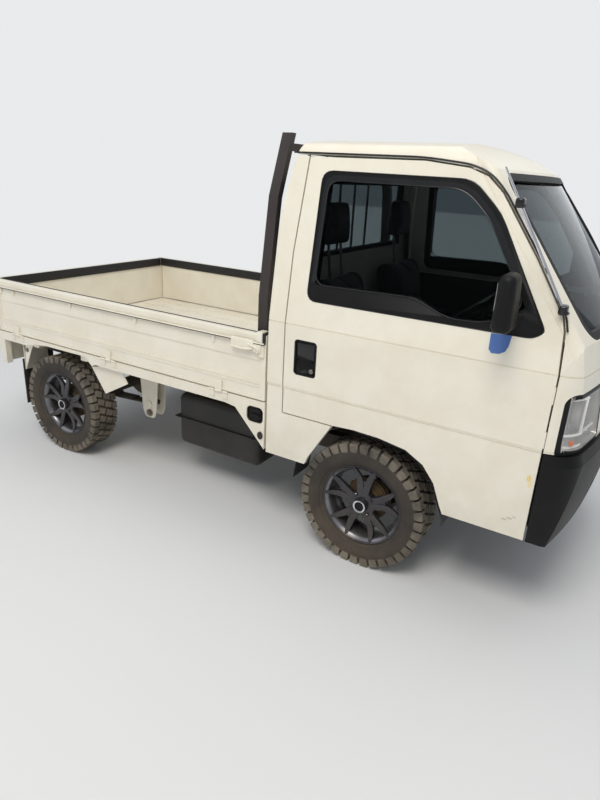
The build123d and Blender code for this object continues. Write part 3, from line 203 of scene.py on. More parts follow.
soft_lamp("key", (1.2, -4.2, 6.0), (0, 0, 0.8), 2.6, 215, (1.0, 0.97, 0.92))
soft_lamp("fill", (-5.0, -3.0, 3.5), (0, 0, 0.6), 4.0, 40, (0.92, 0.95, 1.0))
soft_lamp("top", (0.5, 1.5, 6.0), (0, 0, 0.8), 5.0, 75, (1.0, 1.0, 1.0))
soft_lamp("back", (2.0, 5.5, 3.5), (0, 0, 0.8), 4.0, 30, (0.95, 0.97, 1.0))
bpy.context.scene.view_settings.view_transform = "Standard"

# %% [markdown]
# ## Shared effects
# Dust and grain turn up in many finishes. Each is a small node group with named inputs
# and outputs, so that one recipe serves paint, rubber and plastic with its own values. A
# group only gives out colours, masks and heights: the shader stays outside.

# %% Node group helper


def new_group(name, inputs, outputs):
    """A shader node group with its sockets made, and a recipe to fill it."""
    tree = bpy.data.node_groups.new(name, "ShaderNodeTree")
    for label, kind, value in inputs:
        socket = tree.interface.new_socket(label, in_out="INPUT", socket_type="NodeSocket" + kind)
        socket.default_value = value
    for label, kind in outputs:
        tree.interface.new_socket(label, in_out="OUTPUT", socket_type="NodeSocket" + kind)
    return tree, Recipe(tree), tree.nodes.new("NodeGroupInput"), tree.nodes.new("NodeGroupOutput")


# %% [markdown]
# ### Road dust
# Dust gathers low on the body and on faces that look up. Height comes from Object
# coordinates and the upward share from the normal, and noise breaks the edge up.

# %% Dust group
dust, make, given, out = new_group(
    "road_dust",
    [("Clean", "Color", (1, 1, 1, 1)), ("Dust", "Color", (0.35, 0.29, 0.22, 1)),
     ("Amount", "Float", 0.5), ("Low", "Float", 0.2), ("High", "Float", 0.9),
     ("Lying", "Float", 0.3)],
    [("Color", "Color"), ("Mask", "Float")])
place = make.place()
up = make.add("SeparateXYZ", Vector=place).outputs["Z"]
facing = make.add("SeparateXYZ", Vector=make.add("NewGeometry").outputs["Normal"]).outputs["Z"]
cloud = make.add("TexNoise", Vector=place, Scale=5.0, Detail=5.0, Roughness=0.62).outputs["Fac"]
specks = make.add("TexNoise", Vector=place, Scale=46.0, Detail=3.0, Roughness=0.7).outputs["Fac"]
falling = make.math("SUBTRACT", 1.0, make.ramp(up, given.outputs["Low"], given.outputs["High"]))
lying = make.math("MULTIPLY", make.ramp(facing, 0.5, 0.95), given.outputs["Lying"])
total = make.math("MAXIMUM", make.math("MULTIPLY", falling, make.ramp(cloud, 0.25, 0.75)), lying)
total = make.math("MULTIPLY", total, make.math("ADD", 0.55, make.math("MULTIPLY", specks, 0.9)))
mask = make.math("MULTIPLY", total, given.outputs["Amount"], clamp=True)
make.tree.links.new(make.blend(mask, given.outputs["Clean"], given.outputs["Dust"]), out.inputs["Color"])
make.tree.links.new(mask, out.inputs["Mask"])

# %% [markdown]
# ### Fine grain
# Moulded plastic, rubber and enamel all have a surface texture of their own scale. The
# group gives a height for a Bump node and a small change of roughness.

# %% Grain group
grain, make, given, out = new_group(
    "fine_grain",
    [("Scale", "Float", 300.0), ("Roughness", "Float", 0.5), ("Spread", "Float", 0.1)],
    [("Height", "Float"), ("Roughness", "Float"), ("Cloud", "Float")])
place = make.place()
fine = make.add("TexNoise", Vector=place, Scale=given.outputs["Scale"], Detail=2.0).outputs["Fac"]
wide = make.add("TexNoise", Vector=place, Scale=7.0, Detail=4.0, Roughness=0.6).outputs["Fac"]
change = make.math("MULTIPLY", make.math("SUBTRACT", wide, 0.5), given.outputs["Spread"])
make.tree.links.new(fine, out.inputs["Height"])
make.tree.links.new(make.math("ADD", given.outputs["Roughness"], change), out.inputs["Roughness"])
make.tree.links.new(wide, out.inputs["Cloud"])

# %% [markdown]
# ## Finishes
# One helper covers most of them: a base colour, broken up by slow noise, dusted by
# height, with grain in the bump. Metal, coat and sheen are plain numbers on the shader.

# %% Finish helper
MARK_NOISE = 240.0


def linear(red, green, blue):
    """A colour given as 0 to 255 screen values, as the linear colour that nodes use."""
    def one(value):
        value = value / 255
        return value / 12.92 if value <= 0.04045 else ((value + 0.055) / 1.055) ** 2.4
    return (one(red), one(green), one(blue), 1)


def finish(name, colour, second, rough, spread=0.12, scale=300.0, bump=0.05, dusty=0.0, low=0.15,
           high=0.9, lying=0.2, dust_colour=(128, 112, 92), marks=(), **sockets):
    """A dusty, grained material, with marks at given places. Sockets go on the shader itself."""
    material, make, shader = new_material(name, **sockets)
    surface = make.add("Group", {"node_tree": grain}, Scale=scale, Roughness=rough, Spread=spread)
    roughness = surface.outputs["Roughness"]
    tone = make.blend(make.ramp(surface.outputs["Cloud"], 0.3, 0.7), linear(*colour), linear(*second))
    if dusty:
        cover = make.add("Group", {"node_tree": dust}, Clean=tone, Amount=dusty, Low=low,
                         High=high, Lying=lying, Dust=linear(*dust_colour))
        tone = cover.outputs["Color"]
        roughness = make.math("ADD", roughness, make.math("MULTIPLY", cover.outputs["Mask"], 0.4), clamp=True)
    for centre, reach, mark_colour, strength in marks:
        away = make.vector("SUBTRACT", make.place(), centre)
        away = make.vector("LENGTH", make.vector("DIVIDE", away, reach))
        near = make.math("SUBTRACT", 1.0, make.ramp(away, 0.4, 1.0))
        ragged = make.add("TexNoise", Vector=make.place(), Scale=MARK_NOISE, Detail=3.0).outputs["Fac"]
        share = make.math("MULTIPLY", near, make.math("MULTIPLY", ragged, 2.0 * strength), clamp=True)
        tone = make.blend(share, tone, linear(*mark_colour))
    make.feed(shader, "Base Color", tone)
    make.feed(shader, "Roughness", roughness)
    relief = make.add("Bump", Strength=bump, Distance=0.002, Height=surface.outputs["Height"])
    make.feed(shader, "Normal", relief.outputs["Normal"])
    return material


# %% [markdown]
# The paint is a warm off-white enamel that has yellowed a little. Black parts are
# moulded plastic or rubber. The wheels are dark gunmetal, and their tyres carry the
# colour of the gravel that they roll on.

# %% The truck's finishes
# Per mark: its place, its reach, its colour and its strength.
SCUFFS = [((1.4130, -0.685, 0.634), (0.011, 0.02, 0.018), (236, 205, 120), 1.0),
          ((1.4180, -0.685, 0.612), (0.008, 0.02, 0.016), (240, 214, 140), 0.8),
          ((1.3560, -0.684, 0.450), (0.014, 0.02, 0.004), (178, 172, 150), 0.8),
          ((1.3740, -0.684, 0.459), (0.014, 0.02, 0.004), (170, 164, 142), 0.8),
          ((1.3900, -0.684, 0.469), (0.010, 0.02, 0.004), (186, 180, 158), 0.7)]
paint = finish("off_white_enamel", (240, 234, 217), (235, 227, 209), 0.38, 0.10, 900.0, 0.012, dusty=0.24,
               low=0.20, high=0.75, lying=0.04, marks=SCUFFS, Coat_Weight=0.14, Coat_Roughness=0.32)
black = finish("moulded_black", (15, 15, 16), (21, 21, 22), 0.50, 0.12, 700.0, 0.10, dusty=0.03, low=0.2,
               high=0.7, lying=0.08, Specular_IOR_Level=0.22)
rubber = finish("seal_rubber", (24, 24, 25), (32, 31, 31), 0.62, 0.10, 500.0, 0.08, dusty=0.15, lying=0.15)
tread = finish("dusty_tyre", (48, 44, 41), (62, 56, 50), 0.86, 0.08, 260.0, 0.30, dusty=0.45, low=0.0,
               high=0.75, lying=0.4, dust_colour=(116, 102, 86))
lugs = finish("dusty_lugs", (58, 55, 51), (124, 116, 104), 0.90, 0.35, 110.0, 0.45, dusty=0.6, low=0.0,
              high=0.8, lying=0.45, dust_colour=(150, 138, 119))
barrel_metal = finish("barrel_metal", (116, 117, 122), (134, 134, 138), 0.24, 0.10, 400.0, 0.02, dusty=0.3,
                      low=0.05, high=0.6, lying=0.4, Metallic=0.85)
wheel_paint = finish("gunmetal_cast", (50, 50, 55), (62, 61, 66), 0.26, 0.12, 600.0, 0.03, dusty=0.28,
                     low=0.05, high=0.6, lying=0.25, Metallic=0.6, Coat_Weight=0.3)
steel = finish("worn_steel", (150, 146, 140), (120, 113, 105), 0.38, 0.2, 400.0, 0.05, dusty=0.3,
               Metallic=0.9)
rust = finish("rusty_drum", (118, 97, 66), (88, 70, 48), 0.8, 0.1, 220.0, 0.25, dusty=0.2, Metallic=0.2)
chrome = finish("bright_chrome", (226, 227, 230), (214, 215, 219), 0.10, 0.05, 900.0, 0.0, Metallic=1.0)
chassis = finish("chassis_black", (34, 33, 33), (48, 43, 39), 0.62, 0.15, 260.0, 0.12, dusty=0.6, low=0.1,
                 high=0.7, lying=0.4)
casting = finish("dull_casting", (104, 100, 95), (84, 78, 71), 0.66, 0.15, 180.0, 0.25, dusty=0.5,
                 lying=0.4, Metallic=0.5)
muffler = finish("stained_steel", (124, 110, 94), (96, 78, 62), 0.55, 0.2, 200.0, 0.15, dusty=0.4,
                 Metallic=0.7)
guard_paint = finish("guard_black", (44, 38, 36), (54, 46, 43), 0.50, 0.15, 300.0, 0.10, dusty=0.25,
                     lying=0.3, high=1.4)
cabin = finish("cabin_grey", (46, 47, 50), (54, 55, 58), 0.65, 0.1, 500.0, 0.12, dusty=0.2, lying=0.15)
blank = finish("blank_plate", (232, 231, 226), (226, 224, 216), 0.42, 0.1, 500.0, 0.03, dusty=0.3)
red_lens = finish("red_lens", (150, 14, 12), (134, 10, 10), 0.16, 0.04, 400.0, 0.02, dusty=0.2,
                  Coat_Weight=0.5)
amber_lens = finish("amber_lens", (212, 118, 62), (198, 104, 48), 0.16, 0.04, 400.0, 0.02, dusty=0.1,
                    Coat_Weight=0.5)
bead = finish("gloss_black_seal", (20, 20, 21), (27, 27, 28), 0.26, 0.08, 500.0, 0.03, dusty=0.15, lying=0.15)
silver = finish("lamp_reflector", (188, 184, 176), (160, 156, 149), 0.25, 0.08, 300.0, 0.02, Metallic=0.25)
lamp_frame = finish("lamp_frame", (244, 242, 236), (232, 230, 224), 0.35, 0.08, 300.0, 0.02, dusty=0.15)
tank_paint = finish("tank_paint", (26, 25, 25), (37, 35, 34), 0.55, 0.15, 200.0, 0.12, dusty=0.14, low=0.1,
                    high=0.8, lying=0.35, dust_colour=(112, 104, 90))
cloth = finish("seat_cloth", (26, 30, 44), (36, 40, 56), 0.88, 0.06, 1100.0, 0.35, dusty=0.12, lying=0.1,
               Sheen_Weight=0.35)
vinyl = finish("seat_sides", (28, 29, 33), (38, 39, 43), 0.55, 0.1, 600.0, 0.15, dusty=0.1)
webbing = finish("belt_webbing", (66, 66, 68), (78, 77, 76), 0.75, 0.06, 1400.0, 0.4)
# The blue below the mirror is its painted shadow on the door, not a finish of its own.
mirror_shadow_paint = finish("painted_mirror_shadow", (70, 104, 168), (84, 118, 180), 0.55, 0.1, 400.0, 0.1, dusty=0.1)

# %% [markdown]
# ### Glass
# Window glass lets light through by transmission. A lamp's lens is a thin glossy film
# instead, because a thick clear solid would darken the reflector behind it. Plain numbers
# sit on the shader's own sockets, because an exporter reads those.

# %% Glass finishes


def glass(name, colour, rough, **sockets):
    """A clear material with a little dirt in its roughness."""
    material, make, shader = new_material(name, **sockets)
    surface = make.add("Group", {"node_tree": grain}, Scale=60.0, Roughness=rough, Spread=rough)
    dirtier = tuple(c * 0.96 for c in colour[:3]) + (1,)
    make.feed(shader, "Base Color", make.blend(surface.outputs["Cloud"], colour, dirtier))
    make.feed(shader, "Roughness", surface.outputs["Roughness"])
    return material


window = glass("window_glass", (0.30, 0.34, 0.35, 1), 0.02, IOR=1.12, Transmission_Weight=1.0)
lens = glass("lamp_lens", (0.93, 0.94, 0.94, 1), 0.05, IOR=1.25, Alpha=0.16, Coat_Weight=1.0)

# %% [markdown]
# ## Dressing the solids
# Each solid has one material slot. A table says which finish each takes, and the print
# at the end shows that none was forgotten.

# %% Assign finishes to the solids
WEAR = {
    paint: ["cab_back", "roof", "front_panel", "door_right", "door_left", "gate_right", "gate_left",
            "tailgate", "bed_floor", "mudguard_brackets"],
    black: ["door_trim_right", "door_trim_left", "lamp_bezels", "bumper", "wipers"],
    cabin: ["dashboard", "cab_floor", "seat_right", "seat_left"],
    bead: ["steering_wheel"],
    rubber: ["window_seals", "mud_flaps"],
    window: ["glazing", "door_glass_right", "door_glass_left"],
    lens: ["headlamps"],
    red_lens: ["tail_lamps"],
    tank_paint: ["fuel_tank"],
    chassis: ["frame", "front_axle", "rear_axle", "knuckle_right", "knuckle_left"],
    guard_paint: ["guard_frame"],
    casting: ["engine"],
    muffler: ["exhaust"],
    blank: ["plates"],
    wheel_paint: ["rim_front_right", "rim_front_left", "rim_rear_right", "rim_rear_left"],
    tread: ["tyre_front_right", "tyre_front_left", "tyre_rear_right", "tyre_rear_left"],
}
for material, names in WEAR.items():
    for name in names:
        nodes[name].data.materials.clear()
        nodes[name].data.materials.append(material)
bare = [name for name, thing in nodes.items() if not thing.data.materials[0].use_nodes]
print("undressed solids", bare)

# %% [markdown]
# ## Modelling by hand, in code
# New pieces are made as they would be at a desk: a primitive, then extrude, inset, bevel
# and spin in edit mode. Operators act on everything that is selected, so each piece
# starts with nothing selected, and faces are picked by their place or their normal.

# %% Modelling helpers
FRONT_AXLE_X, REAR_AXLE_X = 0.7725, -1.1275
WHEEL_Y, WHEEL_Z = 0.585, 0.284
WELD, BAR_STEPS = 0.00002, 3


def begin():
    """Nothing selected, in object mode."""
    if bpy.context.mode != "OBJECT":
        bpy.ops.object.mode_set(mode="OBJECT")
    bpy.ops.object.select_all(action="DESELECT")


def only(thing):
    """One piece selected and active, in object mode."""
    begin()
    thing.select_set(True)
    bpy.context.view_layer.objects.active = thing
    return thing


def settle(thing):
    """Puts a piece's place, turn and scale into its mesh, with its object at the origin."""
    only(thing)
    bpy.ops.object.transform_apply(location=True, rotation=True, scale=True)
    return thing


def edit():
    """Into edit mode with everything selected, by vertices."""
    bpy.ops.object.mode_set(mode="EDIT")
    bpy.ops.mesh.select_mode(type="VERT")
    every()


def every():
    """Selects all that the piece has, in edit mode."""
    bpy.ops.mesh.select_all(action="SELECT")


def weld():
    """Merges vertices that lie on each other."""
    every()
    bpy.ops.mesh.remove_doubles(threshold=WELD)


def face_out():
    """Turns every face to look outwards."""
    every()
    bpy.ops.mesh.normals_make_consistent(inside=False)


def pull(move):
    """Extrudes what is selected by a move."""
    bpy.ops.mesh.extrude_region_move(TRANSFORM_OT_translate={"value": move})


def stretch(shares, centre):
    """Resizes what is selected about a place."""
    bpy.ops.transform.resize(value=shares, center_override=centre)


def turn_part(degrees, axis, centre=None):
    """Turns what is selected about an axis through a place."""
    bpy.ops.transform.rotate(value=math.radians(degrees), orient_axis=axis, center_override=centre or HUB)


def bevel(offset, segments, clamp=True):
    """Rounds the selected edges."""
    bpy.ops.mesh.bevel(offset=offset, segments=segments, affect="EDGES", clamp_overlap=clamp)


def pick(test, kind="faces"):
    """In edit mode, selects the faces or edges that pass a test of centre and normal."""
    mesh = bmesh.from_edit_mesh(bpy.context.object.data)
    bpy.ops.mesh.select_all(action="DESELECT")
    bpy.ops.mesh.select_mode(type="FACE" if kind == "faces" else "EDGE")
    for part in getattr(mesh, kind):
        if kind == "faces":
            chosen = test(part.calc_center_median(), part.normal)
        else:
            a, b = (v.co for v in part.verts)
            chosen = test((a + b) / 2, (b - a).normalized())
        part.select_set(chosen)
    bmesh.update_edit_mesh(bpy.context.object.data)


def box(low, high, rounding=0.0, segments=2):
    """A bevelled box between two corners, left in object mode at the origin."""
    begin()
    low, high = Vector(low), Vector(high)
    bpy.ops.mesh.primitive_cube_add(size=1, location=(low + high) / 2)
    bpy.context.object.scale = [abs(a) for a in high - low]
    settle(bpy.context.object)
    if rounding:
        edit()
        bevel(rounding, segments)
        bpy.ops.object.mode_set(mode="OBJECT")
    return bpy.context.object


def trace(points):
    """Starts from one vertex and extrudes it along a line. Stays in edit mode."""
    begin()
    bpy.ops.mesh.primitive_plane_add(size=0.01, location=points[0])
    edit()
    bpy.ops.mesh.merge(type="CENTER")
    for a, b in zip(points, points[1:]):
        pull(Vector(b) - Vector(a))
    every()
    return bpy.context.object


def fill(points, move):
    """A traced outline, closed, filled and extruded once. Stays in edit mode."""
    thing = trace(points + [points[0]])
    weld()
    every()
    bpy.ops.mesh.edge_face_add()
    pull(move)
    face_out()
    return thing


def lathe(points, centre, axis=(0, 1, 0), steps=64):
    """Spins a traced line about an axis into a closed turned form."""
    thing = trace(points)
    bpy.ops.mesh.spin(steps=steps, angle=2 * math.pi, center=centre, axis=axis)
    weld()
    face_out()
    return settle(thing)


def turned(at, profile, steps, outboard=-1):
    """A turned form round a place, from pairs of radius and outboard distance, in millimetres."""
    points = [at + Vector((r / 1000, outboard * a / 1000, 0)) for r, a in profile]
    return lathe(points, at, steps=steps)


def repeat_round(count):
    """In edit mode, copies what is selected round the axle, count times in all."""
    bpy.ops.mesh.spin(steps=count, angle=2 * math.pi, center=HUB, axis=(0, 1, 0), dupli=True)
    weld()
    begin()


def rounded(points, radius, steps=4, closed=True):
    """The same line with its corners turned into short arcs."""
    points = [Vector(p) for p in points]
    result = [] if closed else [points[0]]
    count = len(points)
    for i in range(0 if closed else 1, count if closed else count - 1):
        before, corner, after = points[i - 1], points[i], points[(i + 1) % count]
        a, b = (before - corner), (after - corner)
        reach = min(radius, a.length * 0.45, b.length * 0.45)
        start, end = corner + a.normalized() * reach, corner + b.normalized() * reach
        for k in range(steps + 1):
            t = k / steps
            result.append(start * (1 - t) ** 2 + corner * 2 * t * (1 - t) + end * t ** 2)
    return result if closed else result + [points[-1]]


def tube(points, radius, closed=False):
    """A round bar along a line, as a mesh at the origin."""
    curve = bpy.data.curves.new("bar", "CURVE")
    curve.dimensions = "3D"
    curve.bevel_depth = radius
    curve.bevel_resolution = BAR_STEPS
    curve.use_fill_caps = True
    run = curve.splines.new("POLY")
    run.points.add(len(points) - 1)
    for spot, place in zip(run.points, points):
        spot.co = (*place, 1)
    run.use_cyclic_u = closed
    only(placed("bar", curve))
    bpy.ops.object.convert(target="MESH")
    return bpy.context.object


def bent(points, radius, bend, steps):
    """A round bar whose corners are bent to a radius."""
    return tube(rounded(points, bend, steps, closed=False), radius)


def join(parts):
    """Joins several pieces into the first."""
    begin()
    for part in parts:
        part.select_set(True)
    bpy.context.view_layer.objects.active = parts[0]
    bpy.ops.object.join()
    return bpy.context.object


def keep(thing, name, material, body="truck", angle=35):
    """Names a finished piece, smooths it, gives it a finish and lets it ride."""
    thing.name = name
    settle(thing)
    bpy.ops.object.shade_smooth_by_angle(angle=math.radians(angle))
    thing.data.materials.clear()
    thing.data.materials.append(material)
    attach(thing, body)
    return thing


def copy_of(thing):
    """A copy with its own mesh, in the scene."""
    begin()
    copy = thing.copy()
    copy.data = thing.data.copy()
    bpy.context.scene.collection.objects.link(copy)
    return copy


def twin(thing, name, move=None, spin=None, body="truck"):
    """A copy with its own mesh, moved, or turned half round about an upright line."""
    copy = copy_of(thing)
    copy.name = name
    copy.pop("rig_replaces", None)
    shift = Matrix.Translation(move) if move else Matrix.Identity(4)
    if spin:
        there = Matrix.Translation(spin)
        shift = shift @ there @ Matrix.Rotation(math.pi, 4, "Z") @ there.inverted()
    copy.data.transform(shift)
    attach(copy, body)
    return copy


def mirror(thing):
    """Puts a mesh on the other side of the truck, with its faces turned the right way."""
    thing.data.transform(Matrix.Scale(-1, 4, (0, 1, 0)))
    thing.data.flip_normals()


def other_side(pieces, body="truck"):
    """Mirrored copies of right-hand pieces for the left side. Returns the last one."""
    for piece in pieces:
        copy = twin(piece, piece.name.replace("right", "left"), body=body)
        mirror(copy)
    return copy


def open_copy(name):
    """A merged copy of a solid's mesh, in edit mode, to cut and finish."""
    copy = copy_of(nodes[name])
    copy.hide_render = copy.hide_viewport = False
    only(copy)
    edit()
    weld()
    return copy


# %% [markdown]
# ## Tyres
# These are mud tyres: blocks stand clear of the carcass, the outer row wraps over the
# shoulder, and dust fills the grooves. The carcass is one traced section spun round the
# axle. Each kind of block is modelled once and copied round the wheel with spin.

# %% Carcass
HUB = Vector((FRONT_AXLE_X, -WHEEL_Y, WHEEL_Z))
WHEEL = "wheel_front_right"
SECTION = [(56, 167), (61, 176), (64, 184), (70, 193), (72, 199), (75, 200), (77, 206), (81, 216),
           (83, 230), (82, 244), (79, 256), (74, 266), (64, 271), (40, 274), (0, 275)]


def across(side_mm, radius_mm, angle=0.0):
    """A point of the right front wheel: outboard of its middle, and away from its axle."""
    lean = math.radians(angle)
    return Vector((HUB.x + radius_mm / 1000 * math.sin(lean), HUB.y - side_mm / 1000,
                   HUB.z + radius_mm / 1000 * math.cos(lean)))


def wheel_turned(profile, steps):
    """A form turned about the axle, from pairs of outboard distance and radius."""
    return lathe([across(a, r) for a, r in profile], HUB, steps=steps)


inner_half = [(-a, r) for a, r in reversed(SECTION[:-1])]
carcass = wheel_turned(SECTION + inner_half + [SECTION[0]], 80)
print("carcass faces", len(carcass.data.polygons))

# %% [markdown]
# A shoulder block is a cube whose outboard face is extruded, and whose new underside is
# pulled down the side wall as the ear that grips in mud.

# %% Tread blocks
PITCHES = 36
EAR_OUT, EAR_DOWN = (0, -0.005, -0.003), (0, 0.0015, -0.018)
EAR_TAPER, EAR_EDGE, EAR_RISE = (0.80, 1, 1), 0.0045, 0.0018
POCKET_EDGE, POCKET_DEPTH = 0.0065, 0.0028
BLOCK_ROUNDING = 0.0022
# Per row: turn, then side from and to, radius from and to, width, skew and whether it has an ear.
ROWS = [(0.0, 50, 79, 266, 284, 38, 0, True), (5.0, -79, -50, 266, 284, 38, 0, False),
        (3.0, 5, 44, 271, 283.5, 33, 24, False), (8.0, -44, -5, 271, 283.5, 33, 24, False)]


def tread_block(side_from, side_to, radius_from, radius_to, width, skew, ear):
    """One block of tread, still in edit mode and wholly selected."""
    half_width = Vector((width / 2000, 0, 0))
    thing = box(across(side_from, radius_from) - half_width, across(side_to, radius_to) + half_width)
    edit()
    if ear:
        pick(lambda c, n: n.y < -0.9)
        pull(EAR_OUT)
        limit = across(side_to, 0).y
        pick(lambda c, n: n.z < -0.5 and c.y < limit)
        pull(EAR_DOWN)
        bpy.ops.transform.resize(value=EAR_TAPER)
    every()
    bevel(BLOCK_ROUNDING, 1, clamp=False)
    highest = max(v.co.z for v in bmesh.from_edit_mesh(thing.data).verts)
    pick(lambda c, n: n.z > 0.98 and c.z > highest - 0.001)
    bpy.ops.mesh.inset(thickness=POCKET_EDGE)
    bpy.ops.transform.translate(value=(0, 0, -POCKET_DEPTH))
    if ear:
        outermost_y = min(v.co.y for v in bmesh.from_edit_mesh(thing.data).verts)
        pick(lambda c, n: n.y < -0.98 and c.y < outermost_y + 0.001)
        bpy.ops.mesh.inset(thickness=EAR_EDGE)
        bpy.ops.transform.translate(value=(0, EAR_RISE, 0))
    every()
    if skew:
        turn_part(skew, "Z", (HUB.x, across((side_from + side_to) / 2, 0).y, 0))
    return thing


rows = []
for turned_by, *values in ROWS:
    thing = tread_block(*values)
    turn_part(turned_by, "Y")
    repeat_round(PITCHES)
    rows.append(thing)
carcass_faces = len(carcass.data.polygons)
tyre = join([carcass] + rows)
keep(tyre, "tyre_tread_front_right", tread, WHEEL, angle=40)
tyre.data.materials.append(lugs)
for number, face in enumerate(tyre.data.polygons):
    face.material_index = int(number >= carcass_faces)
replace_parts(tyre, "tyre_front_right")
print("tyre faces", len(tyre.data.polygons))

# %% [markdown]
# ## Cast wheels
# Each of the five spokes is a pair of ridges that leave the hub side by side and part
# into two claws on the rim. A ridge is one small plane, extruded and resized along its
# way. The barrel, cap and drum are turned.

# %% Barrel and spokes
BARREL = [(-66, 180), (-66, 176), (-58, 170), (-50, 158), (-20, 150), (20, 150), (38, 156), (50, 161),
          (57, 166), (61, 173), (66, 177), (67.5, 180), (66, 183), (62, 181), (58, 172), (48, 164),
          (20, 154), (-20, 154), (-50, 162), (-60, 174), (-62, 180), (-66, 180)]
barrel = wheel_turned(BARREL, 72)

RIDGE_ROUNDING = 0.0035
RIDGE = [(26, 11, 56, 30, 22), (60, 13, 52, 31, 22), (92, 17, 47, 31, 20), (118, 25, 47, 31, 18),
         (140, 35, 52, 27, 15), (158, 45, 60, 20, 12), (171, 52, 66, 9, 6)]


def ridge(side):
    """One ridge of a spoke: radius, sideways, outboard, width and depth at each step."""
    begin()
    spots = [Vector((HUB.x + side * x / 1000, HUB.y - (out - deep / 2) / 1000, HUB.z + r / 1000))
             for r, x, out, wide, deep in RIDGE]
    bpy.ops.mesh.primitive_plane_add(size=1, location=spots[0])
    thing = bpy.context.object
    thing.scale = (RIDGE[0][3] / 1000, RIDGE[0][4] / 1000, 1)
    settle(thing)
    edit()
    for i in range(1, len(RIDGE)):
        pull(spots[i] - spots[i - 1])
        stretch((RIDGE[i][3] / RIDGE[i - 1][3], RIDGE[i][4] / RIDGE[i - 1][4], 1), spots[i])
    face_out()
    pick(lambda c, d: abs(d.z) > 0.5, "edges")
    bevel(RIDGE_ROUNDING, 2, clamp=False)
    begin()
    return thing


SPOKES, NUTS = 5, 4
WEB_HALF = Vector((0.013, 0, 0))
web = box(across(22, 30) - WEB_HALF, across(43, 108) + WEB_HALF, 0.004)
edit()
pick(lambda c, n: c.z > HUB.z + 0.100)
stretch((1.5, 1, 1), HUB)
begin()
spoke = join([ridge(-1), ridge(1), web])
edit()
repeat_round(SPOKES)

plate = wheel_turned([(18, 0), (18, 60), (40, 62), (50, 58), (54, 48), (55, 34), (55, 0)], 48)
nut = turned(across(46, 50), [(0, 16), (5, 16), (8.5, 13), (9.5, 0), (0, 0)], 6)
edit()
turn_part(36, "Y")
repeat_round(NUTS)
valve = tube([across(30, 146, 20), across(52, 150, 20)], 0.0035)
keep(barrel, WHEEL + "_barrel", barrel_metal, WHEEL, angle=32)
barrel.data.materials.append(wheel_paint)
for face in barrel.data.polygons:
    face.material_index = int(across(60, 0).y > face.center.y or face.center.y > HUB.y)
rim = join([spoke, plate, valve])
keep(rim, WHEEL + "_casting", wheel_paint, WHEEL, angle=32)
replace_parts(rim, "rim_front_right")

# %% Cap, nuts and drum
CAP = [(50, 0), (50, 33), (66, 33), (74, 31), (79, 28), (80, 25), (78, 21), (74, 19), (73, 0)]
RING_FROM, RING_TO = 0.0215, 0.0285
cap = join([wheel_turned(CAP, 40), nut])
keep(cap, WHEEL + "_cap", chrome, WHEEL)
for extra in (black, wheel_paint):
    cap.data.materials.append(extra)
for face in cap.data.polygons:
    middle = face.center - HUB
    away = math.hypot(middle.x, middle.z)
    face.material_index = 1 if away < RING_FROM else 2 if away > RING_TO else 0

DRUM = [(-44, 26), (-44, 92), (-36, 98), (-6, 98), (-4, 92), (2, 90), (4, 62), (10, 60), (16, 58), (16, 26)]
drum = keep(wheel_turned(DRUM, 56), WHEEL + "_drum", rust, WHEEL)

# %% [markdown]
# The other three wheels are copies: the rear one is the same wheel moved back, and the
# left ones are turned half round, so that their faces point outwards too.

# %% The other wheels
for end, x in (("front", FRONT_AXLE_X), ("rear", REAR_AXLE_X)):
    for side, y in (("right", -WHEEL_Y), ("left", WHEEL_Y)):
        if (end, side) == ("front", "right"):
            continue
        body = f"wheel_{end}_{side}"
        shift = (x - FRONT_AXLE_X, 0, 0)
        middle = (FRONT_AXLE_X, 0, 0) if side == "left" else None
        copies = [twin(tyre, f"tyre_tread_{end}_{side}", shift, middle, body)]
        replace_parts(copies[0], f"tyre_{end}_{side}")
        for piece, label in ((rim, "casting"), (barrel, "barrel"), (cap, "cap"), (drum, "drum")):
            copies.append(twin(piece, f"{body}_{label}", shift, middle, body))
        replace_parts(copies[1], f"rim_{end}_{side}")
print("wheels done")

# %% [markdown]
# ## Places on the cab
# Sizes read from the photograph are in millimetres from the front hub. Two small helpers
# turn them into points of the truck. One gives points on the cab's side, which leans in
# above the belt line and tucks in a little below the fold over the sill.

# %% Points on the truck
SIDE_HALF, LEAN_FROM_Z, LEAN_IN, LEAN_RISE = 690, 1020, 97, 680
SILL_HALF, FOLD_Z, SILL_IN, SILL_DROP = 686, 740, 4, 490


def hub(x, y, z):
    """A point in millimetres from the front hub, in metres of the truck."""
    return Vector((FRONT_AXLE_X + x / 1000, y / 1000, z / 1000))


def on_side(x, z, out=0.0):
    """A point on the right side of the cab, out millimetres from its skin."""
    half_width = SIDE_HALF - max(0.0, z - LEAN_FROM_Z) * LEAN_IN / LEAN_RISE
    if z < FOLD_Z:
        half_width = SILL_HALF - SILL_IN * (FOLD_Z - z) / SILL_DROP
    return hub(x, -half_width - out, z)


def slab(points, y_from, y_to, rounding=0.0, segments=2):
    """A traced outline in X and Z (hub millimetres) pulled across, with rounded edges."""
    thing = fill([hub(x, y_from, z) for x, z in points], (0, (y_to - y_from) / 1000, 0))
    if rounding:
        bevel(rounding, segments)
    return settle(thing)


def strap(points, thick):
    """A flat outline in space, given its thickness by one extrusion."""
    return settle(fill(points, thick))


# %% [markdown]
# ## Seals and beads
# A thin bead catches light round each window and along its black frame. A drip rail runs
# above the door and down the pillar. They are round bars that follow the lines read from
# the photograph.

# %% Window beads and drip rail
DOOR, DOOR_LEFT = "door_right_body", "door_left_body"
GLASS_LINE = [(-270, 1576), (250, 1572), (352, 1484), (520, 1216), (411, 1150), (269, 1143),
              (136, 1197), (-276, 1189)]
FRAME_LINE = [(-300, 1608), (275, 1603), (385, 1503), (597, 1150), (560, 1124), (-304, 1124)]
DRIP_LINE = [(-436, 1669), (96, 1667), (257, 1650), (326, 1626), (384, 1575), (536, 1375),
             (648, 1211), (662, 1162)]

